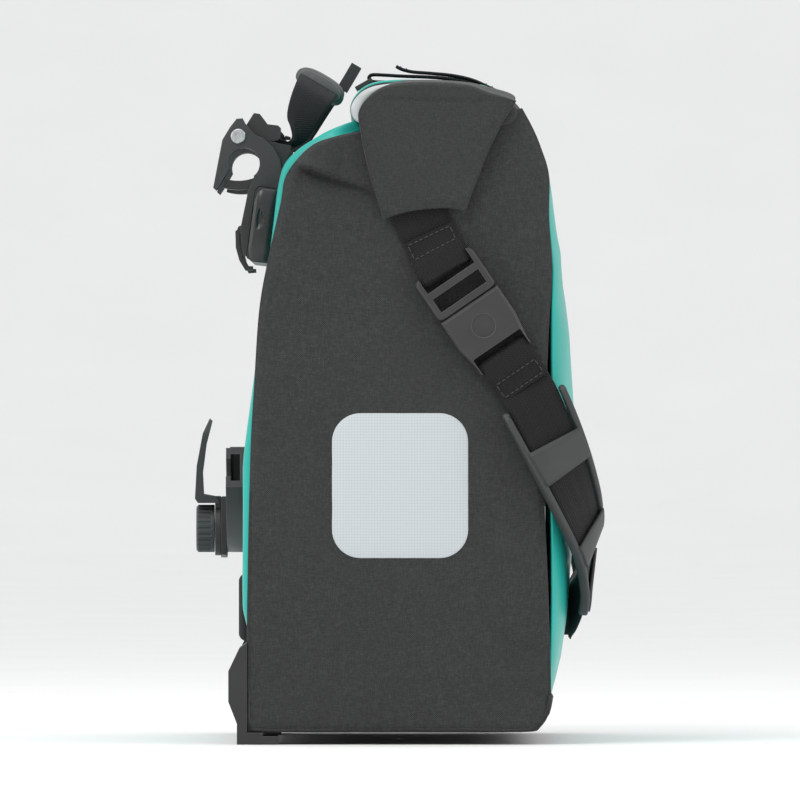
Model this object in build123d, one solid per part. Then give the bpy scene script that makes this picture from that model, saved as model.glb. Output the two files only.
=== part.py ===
# Small roll-top pannier bag for a bicycle rack, millimetres, +Z up.
# The bike is on the -X side, the front panel looks to +X, and the bag is symmetric about the XZ plane.
# "near" pieces are on the -Y side and "far" pieces are their mirror images on the +Y side.
from build123d import *
from math import asin, cos, hypot, radians, sin, sqrt
import os

os.makedirs("parts", exist_ok=True)

# ---------------------------------------------------------------- driving dimensions
bag_width = 250.0          # over the two side panels, along Y
body_depth = 137.5         # back face to front seam, along X
body_height = 274.0        # bag bottom to the neck under the roll, along Z
foot_height = 5.5          # bag bottom above the feet
wall = 2.0                 # coated fabric with its seam allowance
front_bulge = 13.0         # how far the front panel swells past its seam
bulge_shoulder = 65.0      # width at each side over which the swell grows
seam_height = 12.5         # front and back seams start this far above the bag bottom
floor_rise = 3.5           # the turned-up edge strips start this far above the bag bottom
lean = 16.5                # the back panel leans in by this much at its shoulder
lean_start = 124.5         # height above the bag bottom where the lean starts
shoulder_drop = 21.5       # shoulder below the neck
neck_inset = 51.75         # neck behind which the roll lies, from the back face
board = 2.5                # plastic back board
board_margin = 12.0        # board edge to bag edge
roll_height = 23.0
roll_end_length = 13.0     # grey end of the roll, along Y inside the bag width
flap_thickness = 3.0
flap_drop = 37.0           # hem of the folded-down roll end, below the neck
webbing = 25.0             # side strap width
webbing_thickness = 1.6
clearance = 0.3            # between pieces that move past each other
reflector_width = 62.0
reflector_height = 66.0
reflector_thickness = 0.6
reflector_z = 112.5        # patch centre above the bag bottom

rail_length = 200.0        # top rail, along Y
rail_depth = 12.0
rail_tall = 34.0
rail_drop = 43.5           # top rail centre below the neck
slot_width = 18.0          # T-slot mouth of the top rail
slot_under = 3.0           # undercut of each side of the slot
slot_depth = 8.0
lip = 3.0                  # thickness of the slot's lips
cap_length = 5.0
hook_spacing = 150.0       # between the two hooks' centres, along Y
hook_width = 22.0
hook_cavity = 15.0         # room for the locking lever between the cheeks
tube_radius = 7.2          # seat for the rack's tube
rivet_radius = 2.2
rivet_head = 3.4
bore_play = 0.06           # radial play of pins and rivets

arch_radius = 150.0        # middle line of the lower rail
arch_half_angle = 36.0
arch_height = 92.0         # lowest point of that line above the bag bottom
arch_width = 22.0
arch_depth = 10.0
arch_slot = 10.0           # T-slot mouth of the lower rail
arch_under = 2.5
arch_slot_depth = 6.5
arch_lip = 2.2
knob_radius = 11.0
knob_length = 8.4
fin_thickness = 2.5
fin_height = 51.0          # blade tip above the knob's axis
fin_width = 22.0

buckle_length = 52.5
buckle_width = webbing + 6.0
buckle_thickness = 9.6
release_travel = 18.0

# ---------------------------------------------------------------- places worked out from them
half_width = bag_width / 2
back_x = -body_depth / 2
seam_x = body_depth / 2
base_z = foot_height
neck_z = base_z + body_height
neck_x = back_x + neck_inset
shoulder_z = neck_z - shoulder_drop
kink_z = base_z + lean_start
seam_z = base_z + seam_height
bulge_top_z = neck_z - 30.0
roll_back = neck_x - 5.0
roll_front = seam_x - 7.0

parts = {}


def slab(sketch, y_from, y_to):
    # A sketch drawn as (x, z) becomes a plate between two Y planes.
    return Pos(0, y_from, 0) * extrude(Plane.XZ * sketch, amount=y_to - y_from, dir=(0, 1, 0))


def rounded(points, radii):
    # Polygon with its own radius at each corner (0 leaves the corner sharp).
    shape = Polygon(*points, align=None)
    for point, radius in zip(points, radii):
        if radius:
            corner = shape.vertices().sort_by_distance(Vector(*point, 0))[0]
            shape = fillet(corner, radius)
    return shape


def mirrored(solid):
    return mirror(solid, about=Plane.XZ)


def both_sides(name, solid):
    parts[name + "_near"] = solid
    parts[name + "_far"] = mirrored(solid)


def box(x0, x1, y0, y1, z0, z1):
    return Pos((x0 + x1) / 2, (y0 + y1) / 2, (z0 + z1) / 2) * Box(x1 - x0, y1 - y0, z1 - z0)


def rod(x, z, radius, y_from, y_to):
    return Pos(x, (y_from + y_to) / 2, z) * Rot(90, 0, 0) * Cylinder(radius, abs(y_to - y_from))


def rod_x(y, z, radius, x_from, x_to):
    return Pos((x_from + x_to) / 2, y, z) * Rot(0, 90, 0) * Cylinder(radius, abs(x_to - x_from))


# ---------------------------------------------------------------- strips that turn in space
def spread(stations, steps):
    # Smooth in-between stations (Catmull-Rom) of (x, y, z, turn), turn in degrees from -Y to +X.
    padded = [stations[0]] + stations + [stations[-1]]
    path = []
    for a, b, c, d in zip(padded, padded[1:], padded[2:], padded[3:]):
        for step in range(steps):
            t = step / steps
            path.append(tuple(
                0.5 * (2 * q + (r - p) * t + (2 * p - 5 * q + 4 * r - s) * t**2 + (3 * q - p - 3 * r + s) * t**3)
                for p, q, r, s in zip(a, b, c, d)
            ))
    path.append(tuple(stations[-1]))
    return path


def strip(path, across_from, across_to, out_from, out_to, first=0, last=None):
    # Closed strip along a path, from its first to its last station: a rectangle carried from one to the next.
    rings = []
    for index, station in enumerate(path):
        here = Vector(*station[:3])
        before = Vector(*path[max(index - 1, 0)][:3])
        after = Vector(*path[min(index + 1, len(path) - 1)][:3])
        along = (after - before).normalized()
        turn = radians(station[3])
        out = Vector(sin(turn), -cos(turn), 0)
        out = (out - along * out.dot(along)).normalized()
        across = out.cross(along)
        rings.append([
            here + across * a + out * o
            for a, o in ((across_from, out_from), (across_to, out_from), (across_to, out_to), (across_from, out_to))
        ])
    return tube_of(rings[first:] if last is None else rings[first:last + 1])


def tube_of(rings):
    # Triangulated skin over a row of four-cornered rings, closed at both ends.
    faces = [Face(Wire.make_polygon(rings[0])), Face(Wire.make_polygon(rings[-1]))]
    for ring, following in zip(rings, rings[1:]):
        for k in range(4):
            a, b = ring[k], ring[(k + 1) % 4]
            c, d = following[(k + 1) % 4], following[k]
            faces.append(Face(Wire.make_polygon([a, b, c])))
            faces.append(Face(Wire.make_polygon([a, c, d])))
    solid = Solid(Shell(faces))
    return solid if solid.volume > 0 else Solid(Shell([-face for face in faces]))


# ---------------------------------------------------------------- the bag body
def body_sketch():
    points = [
        (back_x, base_z),
        (back_x, kink_z),
        (back_x + lean, shoulder_z),
        (back_x + lean + 12.0, neck_z - 7.0),
        (neck_x, neck_z),
        (seam_x - 20.0, neck_z),
        (seam_x - 5.0, neck_z - 6.0),
        (seam_x, neck_z - 22.0),
        (seam_x, base_z),
    ]
    return rounded(points, [8.0, 60.0, 22.0, 22.0, 22.0, 20.0, 12.0, 25.0, 10.0])


outline = body_sketch()
inner_outline = offset(outline, amount=-wall)
board_outline = offset(outline, amount=-wall - board)


def front_swell():
    # The bulged front as a solid from the neck line out to the panel's outer face.
    middle_z = (seam_z + bulge_top_z) / 2
    side_edge = [(neck_x, seam_z), (seam_x, seam_z)]
    arc = ThreePointArc((seam_x, seam_z), (seam_x + front_bulge, middle_z), (seam_x, bulge_top_z))
    rest = Polyline((seam_x, bulge_top_z), (neck_x, bulge_top_z), *side_edge)
    profile = make_face([arc, *rest.edges()])
    flat_y = half_width - bulge_shoulder
    radius = (bulge_shoulder**2 + front_bulge**2) / (2 * front_bulge)
    mid = asin(bulge_shoulder / radius) / 2
    arc_mid = (seam_x + front_bulge - radius * (1 - cos(mid)), flat_y + radius * sin(mid))
    crown = seam_x + front_bulge
    near_arc = ThreePointArc((seam_x, -half_width), (arc_mid[0], -arc_mid[1]), (crown, -flat_y))
    far_arc = ThreePointArc((crown, flat_y), arc_mid, (seam_x, half_width))
    flat = Line((crown, -flat_y), (crown, flat_y))
    back = Polyline((seam_x, half_width), (neck_x, half_width), (neck_x, -half_width), (seam_x, -half_width))
    plan = make_face([near_arc, flat, far_arc, *back.edges()])
    return slab(profile, -half_width, half_width) & extrude(plan, amount=neck_z + 50.0)


swell = front_swell()


def fabric_panels():
    ring = slab(outline - inner_outline, -half_width, half_width)
    low = box(back_x - 1, seam_x + 1, -half_width, half_width, base_z - 1, seam_z)
    back_zone = box(back_x - 1, neck_x, -half_width, half_width, seam_z, neck_z + 1)
    front_zone = box(neck_x, seam_x + 1, -half_width, half_width, seam_z, neck_z + 1)
    floor_zone = box(back_x - 1, seam_x + 1, -half_width, half_width, base_z - 1, base_z + floor_rise)
    parts["bottom_panel"] = ring & floor_zone
    edges = (ring & low) - floor_zone
    parts["bottom_edge_back"] = edges & box(back_x - 1, 0, -half_width, half_width, base_z, seam_z)
    parts["bottom_edge_front"] = edges & box(0, seam_x + 1, -half_width, half_width, base_z, seam_z)
    parts["back_panel"] = ring & back_zone
    skin = (ring & front_zone) + (swell & box(seam_x - wall, seam_x + 40, -half_width, half_width, seam_z, neck_z))
    parts["front_panel"] = skin - Pos(-wall, 0, 0) * swell
    both_sides("side_panel", slab(inner_outline, -half_width, -half_width + wall))


def back_board():
    # Stiff board behind the back panel, bent with it.
    band = slab(inner_outline - board_outline, -half_width + board_margin, half_width - board_margin)
    zone = box(back_x, back_x + lean + 8.0, -half_width, half_width, seam_z + 6.0, shoulder_z - 8.0)
    parts["back_board"] = band & zone


def roll_sketch():
    bottom = neck_z
    depth = roll_front - roll_back
    points = [
        (neck_x + 2.0, bottom),
        (roll_back, bottom + 6.0),
        (roll_back + 4.0, bottom + 18.0),
        (roll_back + 14.0, bottom + roll_height),
        (roll_back + 0.54 * depth, bottom + roll_height - 0.5),
        (roll_front - 17.0, bottom + 16.5),
        (roll_front - 4.0, bottom + 9.5),
        (roll_front - 3.0, bottom + 4.0),
        (roll_front - 12.0, bottom),
    ]
    return rounded(points, [0, 5.0, 8.0, 12.0, 0.4 * depth, 0.25 * depth, 3.0, 3.0, 0])


def roll_top():
    # The rolled-up mouth of the bag with its stiffening strip inside.
    roll_end = half_width - roll_end_length
    strip_width, strip_thickness = 0.5 * (roll_front - roll_back), 2.4
    strip_x, strip_z = (roll_back + roll_front) / 2 - 6.0, neck_z + 9.0
    pocket = Pos(strip_x, strip_z) * Rectangle(strip_width + 0.8, strip_thickness + 0.8)
    blade = Pos(strip_x, strip_z) * Rectangle(strip_width, strip_thickness)
    parts["roll_closure"] = slab(roll_sketch() - pocket, -roll_end, roll_end)
    parts["closure_stiffener"] = slab(blade, -roll_end + 1.0, roll_end - 1.0)


def roll_end():
    # Grey end of the roll: a short stretch of the roll and the flap that is pulled down over the side.
    flap_inner = -half_width - 2 * clearance - webbing_thickness
    flap_outer = flap_inner - flap_thickness
    stub = slab(roll_sketch(), flap_outer, -half_width + roll_end_length)
    flap = rounded(
        [
            (neck_x - 1.0, neck_z + 9.0),
            (neck_x + 6.0, neck_z + 19.0),
            (seam_x - 14.0, neck_z + 12.0),
            (seam_x - 38.0, neck_z - flap_drop + 3.0),
            (neck_x + 10.6, neck_z - flap_drop - 3.0),
        ],
        [6.0, 10.0, 4.0, 3.0, 3.0],
    )
    return stub + slab(flap, flap_outer, flap_inner)


def reflector():
    centre = Pos((back_x + seam_x) / 2 + 1.0, base_z + reflector_z)
    patch = centre * RectangleRounded(reflector_width, reflector_height, 14.0)
    return slab(patch, -half_width - reflector_thickness, -half_width)


# ---------------------------------------------------------------- top rail and its hooks
lean_length = hypot(lean, shoulder_z - kink_z)
up_x = lean / lean_length
up_z = (shoulder_z - kink_z) / lean_length
rail_z = neck_z - rail_drop
rail_foot_x = back_x + lean * (rail_z - kink_z) / (shoulder_z - kink_z)
rail_plane = Plane(origin=(rail_foot_x, 0, rail_z), x_dir=(-up_z, 0, up_x), z_dir=(0, 1, 0))
rail_screw_y = (-80.0, 0.0, 80.0)
screw_radius = 2.0


def rail_slab(sketch, y_from, y_to):
    # Sketch axes: first outwards from the back panel, second up along it.
    return Pos(0, y_from, 0) * extrude(rail_plane * sketch, amount=y_to - y_from)


def rail_rod(out_from, out_to, y, radius):
    pin = Pos((out_from + out_to) / 2, 0, y) * Rot(0, 90, 0) * Cylinder(radius, out_to - out_from)
    return rail_plane.location * pin


def top_rail():
    half = rail_length / 2
    profile = Pos(rail_depth / 2, 0) * RectangleRounded(rail_depth, rail_tall, 3.0)
    profile += Pos(rail_depth / 4, 0) * Rectangle(rail_depth / 2, rail_tall)
    mouth = Pos(rail_depth - lip / 2, 0) * Rectangle(lip + 0.02, slot_width)
    under = Pos(rail_depth - (slot_depth + lip) / 2, 0) * Rectangle(slot_depth - lip, slot_width + 2 * slot_under)
    rail = rail_slab(profile - mouth - under, -half, half)
    for y in rail_screw_y:
        rail -= rail_rod(-0.5, rail_depth, y, screw_radius + 0.2)
    parts["top_rail"] = rail
    cap = rail_slab(Pos(rail_depth / 2 + 0.3, 0) * RectangleRounded(rail_depth + 0.6, rail_tall + 1.2, 4.5),
                    -half - cap_length, -half)
    cap = fillet(cap.faces().sort_by(Axis.Y)[0].edges(), 2.2)
    both_sides("rail_cap", cap)


def rail_screws():
    board_inner = -wall - board
    for y in rail_screw_y:
        for node in ("back_panel", "back_board"):
            parts[node] -= rail_rod(board_inner - 1.0, 1.0, y, screw_radius + 0.2)
    head_top = rail_depth - slot_depth
    screws, nuts = [], []
    for y in rail_screw_y:
        screw = rail_rod(board_inner - 3.0, head_top, y, screw_radius)
        screw += rail_rod(head_top, head_top + 2.0, y, 4.0)
        screw -= rail_rod(head_top + 0.9, head_top + 2.1, y, 1.6)
        nut = rail_rod(board_inner - 3.2, board_inner, y, 6.0) - rail_rod(board_inner - 4, board_inner + 1, y,
                                                                         screw_radius)
        screws.append(screw)
        nuts.append(nut)
    parts["rail_screws"] = screws
    parts["rail_nuts"] = nuts


# Hook shapes are drawn around the rivet: first out of the page to +X, second up.
rivet_x = rail_foot_x - 10.8 - tube_radius
rivet_z = rail_z + 41.8
tube_dx, tube_dz = 2.6, -5.3 - tube_radius
tube_x, tube_z = rivet_x + tube_dx, rivet_z + tube_dz
tube_reach = hypot(tube_dx, tube_dz) + tube_radius
finger_inner = tube_reach + 0.35
finger_outer = finger_inner + 4.2
cavity_radius = finger_outer + 0.5
hook_y = -hook_spacing / 2


def sector(r_in, r_out, from_deg, to_deg):
    # Ring sector about the rivet, angles measured from straight down towards +X.
    def at(r, deg):
        return (r * sin(radians(deg)), -r * cos(radians(deg)))
    mid = (from_deg + to_deg) / 2
    outer = ThreePointArc(at(r_out, from_deg), at(r_out, mid), at(r_out, to_deg))
    inner = ThreePointArc(at(r_in, to_deg), at(r_in, mid), at(r_in, from_deg))
    sides = [Line(at(r_out, to_deg), at(r_in, to_deg)), Line(at(r_in, from_deg), at(r_out, from_deg))]
    return make_face([outer, sides[0], inner, sides[1]])


ear = 2.0                  # side walls of the tab's eye
eye_bar = 1.5
eye_room = 4.0
tab_eye = (15.3, 1.7)
eye_x, eye_z = rivet_x + tab_eye[0], rivet_z + tab_eye[1]
loop_width = hook_cavity - 2 * clearance - 2 * ear - 2 * clearance
at_rivet = Pos(rivet_x, rivet_z)
cheek_near = hook_y - hook_width / 2
cheek_far = hook_y + hook_width / 2
latch_pivot = (1.2, -42.5)
arm_from = 57.0


def rail_point(outward, up):
    # A point of the rail's section, as seen from the rivet.
    x = rail_foot_x - up_z * outward + up_x * up - rivet_x
    z = rail_z + up_x * outward + up_z * up - rivet_z
    return (x, z)


def hook_body():
    # Two cheeks joined by the left arm, the crown and the carriage that grips the rail.
    top_gap, face_gap = rail_tall / 2 + 2 * clearance, rail_depth + 1.5 * clearance
    outline_points = [
        (-0.8, 8.0), (2.0, 8.2), (3.4, 5.6), (8.0, 0.4), (11.6, -0.9), (16.0, -5.2), (19.0, -10.5),
        (20.0, -16.5), rail_point(1.0, top_gap), rail_point(rail_depth - 1.0, top_gap),
        rail_point(face_gap, rail_tall / 2 - 1.5), rail_point(face_gap, -rail_tall / 2 + 2.0),
        rail_point(face_gap + 1.4, -rail_tall / 2 + 2.5), rail_point(face_gap + 2.6, -rail_tall / 2 + 6.0),
        (0.9, -42.5), (3.9, -28.0), (4.3, -25.4),
        (tube_dx + 4.6, tube_dz - 6.0), (tube_dx, tube_dz), (tube_dx - 6.8, tube_dz - 2.4),
        (-7.8, -21.2), (-10.2, -24.8), (-11.5, -23.6), (-9.4, -12.5), (-7.3, -1.6), (-3.9, 4.0),
    ]
    plate = Polygon(*outline_points, align=None)
    cavity = Circle(5.2) + sector(finger_inner - 0.4, cavity_radius, -21.0, 60.0)
    cavity += sector(1.0, cavity_radius, arm_from - 4.0, 122.0) + sector(1.0, cavity_radius, 118.0, 190.0)
    body = slab(at_rivet * plate, cheek_near, cheek_far)
    body -= slab(at_rivet * cavity, hook_y - hook_cavity / 2, hook_y + hook_cavity / 2)
    body -= rod(tube_x, tube_z, tube_radius, hook_y - hook_width, hook_y + hook_width)
    body -= rod(rivet_x, rivet_z, rivet_radius, hook_y - hook_width, hook_y + hook_width)
    body -= rod(rivet_x + latch_pivot[0], rivet_z + latch_pivot[1], 1.8, hook_y - 8.4, hook_y + 8.4)
    return body + rail_foot()


def rail_foot():
    # T-shaped foot of the carriage inside the rail's slot.
    neck_half = slot_width / 2 - clearance
    flange_half = neck_half + slot_under
    neck = Pos(rail_depth - lip / 2, 0) * Rectangle(lip + 2 * clearance + 0.8, 2 * neck_half)
    flange_out = rail_depth - lip - clearance
    flange = Pos(flange_out - 1.1, 0) * Rectangle(2.2, 2 * flange_half)
    return rail_slab(neck + flange, hook_y - 9.0, hook_y + 9.0)


def lock_lever():
    # Bell crank on the rivet: a tab that the handle pulls, and a finger that shuts the seat from below.
    width = hook_cavity - 2 * clearance
    finger = sector(finger_inner, finger_outer, -17.0, 60.0)
    arm = sector(3.5, finger_outer, arm_from, 80.0)
    tab = Polygon(
        (2.6, 3.6), (7.1, 10.7), (9.8, 10.3), (13.4, 5.6), (18.2, 5.0), (19.4, 3.8), (19.4, -0.6), (18.2, -1.8),
        (13.2, -2.6), (3.0, -2.6),
        align=None,
    )
    swing_room = [(eye_room * 4 * cos(radians(a)), eye_room * 4 * sin(radians(a))) for a in range(-60, 131, 19)]
    eye = Pos(*tab_eye) * (Circle(eye_room) + Polygon((0, 0), *swing_room, align=None))
    lever = slab(at_rivet * (Circle(4.6) + finger + arm + tab), hook_y - width / 2, hook_y + width / 2)
    lever -= slab(at_rivet * eye, hook_y - width / 2 + ear, hook_y + width / 2 - ear)
    lever -= rod(rivet_x, rivet_z, rivet_radius + bore_play, hook_y - width, hook_y + width)
    lever += rod(eye_x, eye_z, eye_bar, hook_y - width / 2, hook_y + width / 2)
    return lever


def pivot_rivet():
    pin = rod(rivet_x, rivet_z, rivet_radius, cheek_near, cheek_far)
    for side, face in ((-1, cheek_near), (1, cheek_far)):
        head = rod(rivet_x, rivet_z, rivet_head, *sorted((face, face + side * 1.3)))
        rim = head.faces().sort_by(Axis.Y)[0 if side < 0 else -1]
        head = chamfer(rim.edges(), 0.4)
        head -= rod(rivet_x, rivet_z, 1.5, *sorted((face + side * 0.9, face + side * 1.4)))
        pin += head
    return pin


def rail_latch():
    # Tool-free clamp of the carriage: a blade hinged on it whose tip catches under the rail.
    tip = rail_point(rail_depth - 3.0, -rail_tall / 2 - 2.0)
    px, pz = latch_pivot
    points = [
        (px, pz + 1.4), (px, pz - 1.4), (px - 0.75, pz - 2.6), (px - 0.3, pz - 8.5),
        (tip[0] - 4.4, tip[1] + 3.0), (tip[0] - 2.6, tip[1] + 0.1), tip, (tip[0] + 0.1, tip[1] - 1.7),
        (tip[0] - 3.4, tip[1] - 2.0), (tip[0] - 6.2, tip[1] + 2.6), (px - 2.4, pz - 8.5), (px - 2.6, pz - 1.0),
    ]
    blade = Polygon(*reversed(points), align=None) + Pos(px, pz) * Circle(1.6)
    return slab(at_rivet * blade, hook_y - 8.0, hook_y + 8.0)


# ---------------------------------------------------------------- carrying handle
strap_thin = 1.4
handle_top = (eye_x + 21.5, eye_z + 22.5)
grip_half = 42.0
handle_webbing = 20.0
grip_across = Vector(0.86, 0, -0.51)
grip_plane = Plane(origin=(handle_top[0], 0, handle_top[1]), x_dir=(0.86, 0, -0.51), z_dir=(0, 1, 0))


def handle():
    # Flat webbing from one tab up to the grip and down to the other tab, its ends sewn round the tab bars.
    hole = eye_bar + clearance
    leg = [
        (Vector(eye_x + 2.0, hook_y, eye_z + 1.6), Vector(0, 1, 0), loop_width / 2),
        (Vector(eye_x + 5.2, hook_y + 0.4, eye_z + 6.0), Vector(0, 1, 0), loop_width / 2),
        (Vector(eye_x + 9.5, hook_y + 4.0, eye_z + 11.0), Vector(0.3, 0.9, -0.25), 6.0),
        (Vector(eye_x + 14.0, hook_y + 10.0, eye_z + 16.0), Vector(0.6, 0.65, -0.4), 8.0),
        (Vector(eye_x + 18.5, hook_y + 19.0, eye_z + 20.5), Vector(0.8, 0.3, -0.48), 9.5),
        (Vector(handle_top[0], -grip_half + 2.0, handle_top[1]), grip_across, handle_webbing / 2),
    ]
    near_strap = flat_webbing(leg)
    middle = extrude(grip_plane * Rectangle(handle_webbing, strap_thin), amount=grip_half - 2.0, both=True)
    bar = rod(eye_x, eye_z, hole, hook_y - 20, hook_y + 20)
    loop = rod(eye_x, eye_z, hole + strap_thin, hook_y - loop_width / 2, hook_y + loop_width / 2) - bar
    near_end = (near_strap - bar) + loop
    parts["handle_strap"] = near_end + mirrored(near_end) + middle
    sleeve = RectangleRounded(handle_webbing + 4.4, 8.5, 4.0) - Rectangle(handle_webbing + 0.8, strap_thin + 0.8)
    parts["handle_grip"] = extrude(grip_plane * sleeve, amount=grip_half - 4.0, both=True)


def flat_webbing(stations):
    rings = []
    for index, (here, across, half) in enumerate(stations):
        before = stations[max(index - 1, 0)][0]
        after = stations[min(index + 1, len(stations) - 1)][0]
        along = (after - before).normalized()
        if index == len(stations) - 1:
            along = Vector(0, 1, 0)
        across = (across - along * across.dot(along)).normalized()
        out = along.cross(across) * (strap_thin / 2)
        rings.append([here - across * half - out, here + across * half - out,
                      here + across * half + out, here - across * half + out])
    return tube_of(rings)


def handle_buckle():
    # Small ring sewn to the grip.
    middle = Pos(handle_webbing / 2 - 0.3, -4.25 - 6.5)
    frame = middle * Rectangle(5.0, 13.0)
    window = middle * Rectangle(5.2, 7.0)
    ring = extrude(grip_plane * frame, amount=12.0, both=True)
    ring -= extrude(grip_plane * window, amount=8.0, both=True)
    parts["top_buckle_ring"] = ring


strap_start = (handle_top[0] + 24.0, neck_z + roll_height + 2.6)


def ribbon_band(line, thickness):
    return make_face(Polyline(*line, *[(x, z - thickness) for x, z in reversed(line)], close=True))


def top_strap():
    # Thin strap over the roll: sewn down at the front, led back round the hook's bar and doubled over itself.
    x0, z0 = strap_start
    roll_top_z = neck_z + roll_height
    front = roll_front - 12.0
    lower = [
        (x0, z0 - 0.65), (x0 + 14.0, z0 - 1.2), (roll_back + 45.0, roll_top_z + 1.3),
        (roll_front - 17.5, roll_top_z - 4.9), (roll_front - 10.0, roll_top_z - 8.6),
    ]
    upper = [
        (x0, z0 + 1.85), (x0 + 13.0, z0 + 4.4), (roll_back + 44.0, roll_top_z + 4.3),
        (roll_front - 18.0, roll_top_z - 2.9), (roll_front - 10.0, roll_top_z - 7.0),
    ]
    bend = Pos(x0, z0) * (Circle(1.85) - Circle(0.65)) & Pos(x0 - 2.0, z0) * Rectangle(4.0, 6.0)
    profile = ribbon_band(lower, 1.2) + ribbon_band(upper, 1.2) + bend
    parts["top_strap"] = slab(profile, -10.0, 10.0)


def top_buckle_hook():
    # Flat hook held in the strap's bend.
    x0, z0 = strap_start
    bar = rod(x0, z0, 0.55, -11.5, 11.5)
    arms = slab(Pos(x0 - 3.4, z0 - 1.9) * Rot(0, 0, 30) * Rectangle(8.6, 1.9), -12.5, 12.5)
    slot = slab(Pos(x0, z0) * Circle(2.3), -10.4, 10.4)
    parts["top_buckle_hook"] = arms - slot + bar


# ---------------------------------------------------------------- lower rail and its hook
arch_z = base_z + arch_height + arch_radius
arch_face = back_x - arch_depth
knob_z = base_z + arch_height
bolt_radius = 3.0
arch_screw_deg = (-28.0, 0.0, 28.0)


def arch_sector(r_in, r_out, half_deg, x_from, x_to):
    # Ring sector below the arch centre, as a plate between two X planes.
    def at(r, deg):
        return (r * sin(radians(deg)), arch_z - r * cos(radians(deg)))
    outer = ThreePointArc(at(r_out, -half_deg), at(r_out, 0), at(r_out, half_deg))
    inner = ThreePointArc(at(r_in, half_deg), at(r_in, 0), at(r_in, -half_deg))
    sides = [Line(at(r_out, half_deg), at(r_in, half_deg)), Line(at(r_in, -half_deg), at(r_out, -half_deg))]
    face = make_face([outer, sides[0], inner, sides[1]])
    return Pos(x_from, 0, 0) * extrude(Plane.YZ * face, amount=x_to - x_from)


def lower_rail():
    r_in, r_out = arch_radius - arch_width / 2, arch_radius + arch_width / 2
    half_slot = arch_slot / 2
    floor_x = arch_face + arch_slot_depth
    rail = arch_sector(r_in, r_out, arch_half_angle, arch_face, back_x)
    rail -= arch_sector(arch_radius - half_slot, arch_radius + half_slot, arch_half_angle + 2, arch_face - 1, floor_x)
    rail -= arch_sector(arch_radius - half_slot - arch_under, arch_radius + half_slot + arch_under,
                        arch_half_angle + 2, arch_face + arch_lip, floor_x)
    screws = []
    nuts = []
    board_inner = back_x + wall + board
    for deg in arch_screw_deg:
        y, z = arch_radius * sin(radians(deg)), arch_z - arch_radius * cos(radians(deg))
        hole = rod_x(y, z, screw_radius + 0.2, floor_x - 1, board_inner + 1)
        rail -= hole
        parts["back_panel"] -= hole
        parts["back_board"] -= hole
        screw = rod_x(y, z, screw_radius, floor_x, board_inner + 3.0) + rod_x(y, z, 4.0, floor_x - 1.6, floor_x)
        screws.append(screw - rod_x(y, z, 1.6, floor_x - 1.7, floor_x - 0.7))
        nuts.append(rod_x(y, z, 6.0, board_inner, board_inner + 3.2) - rod_x(y, z, screw_radius, board_inner - 1,
                                                                            board_inner + 4))
    parts["lower_rail"] = rail
    parts["lower_rail_screws"] = screws
    parts["lower_rail_nuts"] = nuts


base_inner = arch_face - clearance
base_outer = base_inner - 2.8
fin_inner = base_outer - clearance
fin_outer = fin_inner - fin_thickness
knob_inner = fin_outer - clearance
knob_outer = knob_inner - knob_length


def lower_hook():
    # Carriage in the arched rail, with a bolt on which the fin swivels and the ribbed knob turns.
    half_slot = arch_slot / 2 - clearance
    plate = arch_sector(arch_radius - 13.5, arch_radius + 13.5, 8.0, base_outer, base_inner)
    neck = arch_sector(arch_radius - half_slot, arch_radius + half_slot, 6.0, base_inner, arch_face + arch_lip + 1.0)
    flange = arch_sector(arch_radius - half_slot - arch_under, arch_radius + half_slot + arch_under, 6.0,
                         arch_face + arch_lip + clearance, arch_face + arch_lip + clearance + 1.8)
    bolt_end = knob_outer + 1.6
    bolt_hole = rod_x(0, knob_z, bolt_radius, base_outer - 1, arch_face + 1.0)
    parts["lower_hook_carriage"] = plate + neck + flange - bolt_hole
    parts["lower_hook_bolt"] = rod_x(0, knob_z, bolt_radius, bolt_end, arch_face + 1.0)
    bore = rod_x(0, knob_z, bolt_radius + bore_play, knob_outer + 1.2, base_outer + 1)
    parts["lower_hook_fin"] = fin() - bore
    parts["lower_hook_knob"] = knob() - bore


def fin():
    # Round collar with a knee over the knob and a blade that stands up behind the rack's side.
    collar = rod_x(0, knob_z, knob_radius + 1.5, fin_outer, fin_inner)
    knee_z = knob_z + knob_radius + 0.8
    tip_z = knob_z + fin_height
    blade = Polygon(
        (fin_inner, knee_z), (fin_outer, knee_z + 3.2), (knob_outer + 3.4, knee_z + 4.2),
        (knob_outer + 2.9, knee_z + 14.0), (knob_outer + 4.6, tip_z - 12.0), (knob_outer + 7.4, tip_z - 1.2),
        (knob_outer + 6.2, tip_z), (knob_outer + 3.0, tip_z - 7.0), (knob_outer + 0.2, tip_z - 22.0),
        (knob_outer - 0.6, knee_z + 2.0), (knob_outer + 0.8, knee_z), (fin_outer, knee_z),
        align=None,
    )
    root = box(fin_outer, fin_inner, -fin_width / 2 + 3, fin_width / 2 - 3, knob_z + 4.0, knee_z + 3.2)
    front = Pos(0, (knee_z + tip_z) / 2) * RectangleRounded(fin_width, tip_z - knee_z, fin_width / 2 - 1.5)
    front += Pos(0, knee_z + 8.0) * Rectangle(fin_width, 16.0)
    tongue = Pos(knob_outer - 5, 0, 0) * extrude(Plane.YZ * front, amount=30.0)
    return collar + root + (slab(blade, -fin_width / 2, fin_width / 2) & tongue)


def knob():
    body = rod_x(0, knob_z, knob_radius, knob_outer, knob_inner)
    body = chamfer(body.edges().sort_by(Axis.X)[0], 1.0)
    for k in range(24):
        angle = radians(15.0 * k)
        y, z = (knob_radius + 0.4) * cos(angle), knob_z + (knob_radius + 0.4) * sin(angle)
        body -= rod_x(y, z, 0.9, knob_outer - 1, knob_inner - 1.4)
    return body


# ---------------------------------------------------------------- pads and corner guards on the bike side
guard_width = 40.0
guard_tall = 41.0
guard_foot = 14.0


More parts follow.
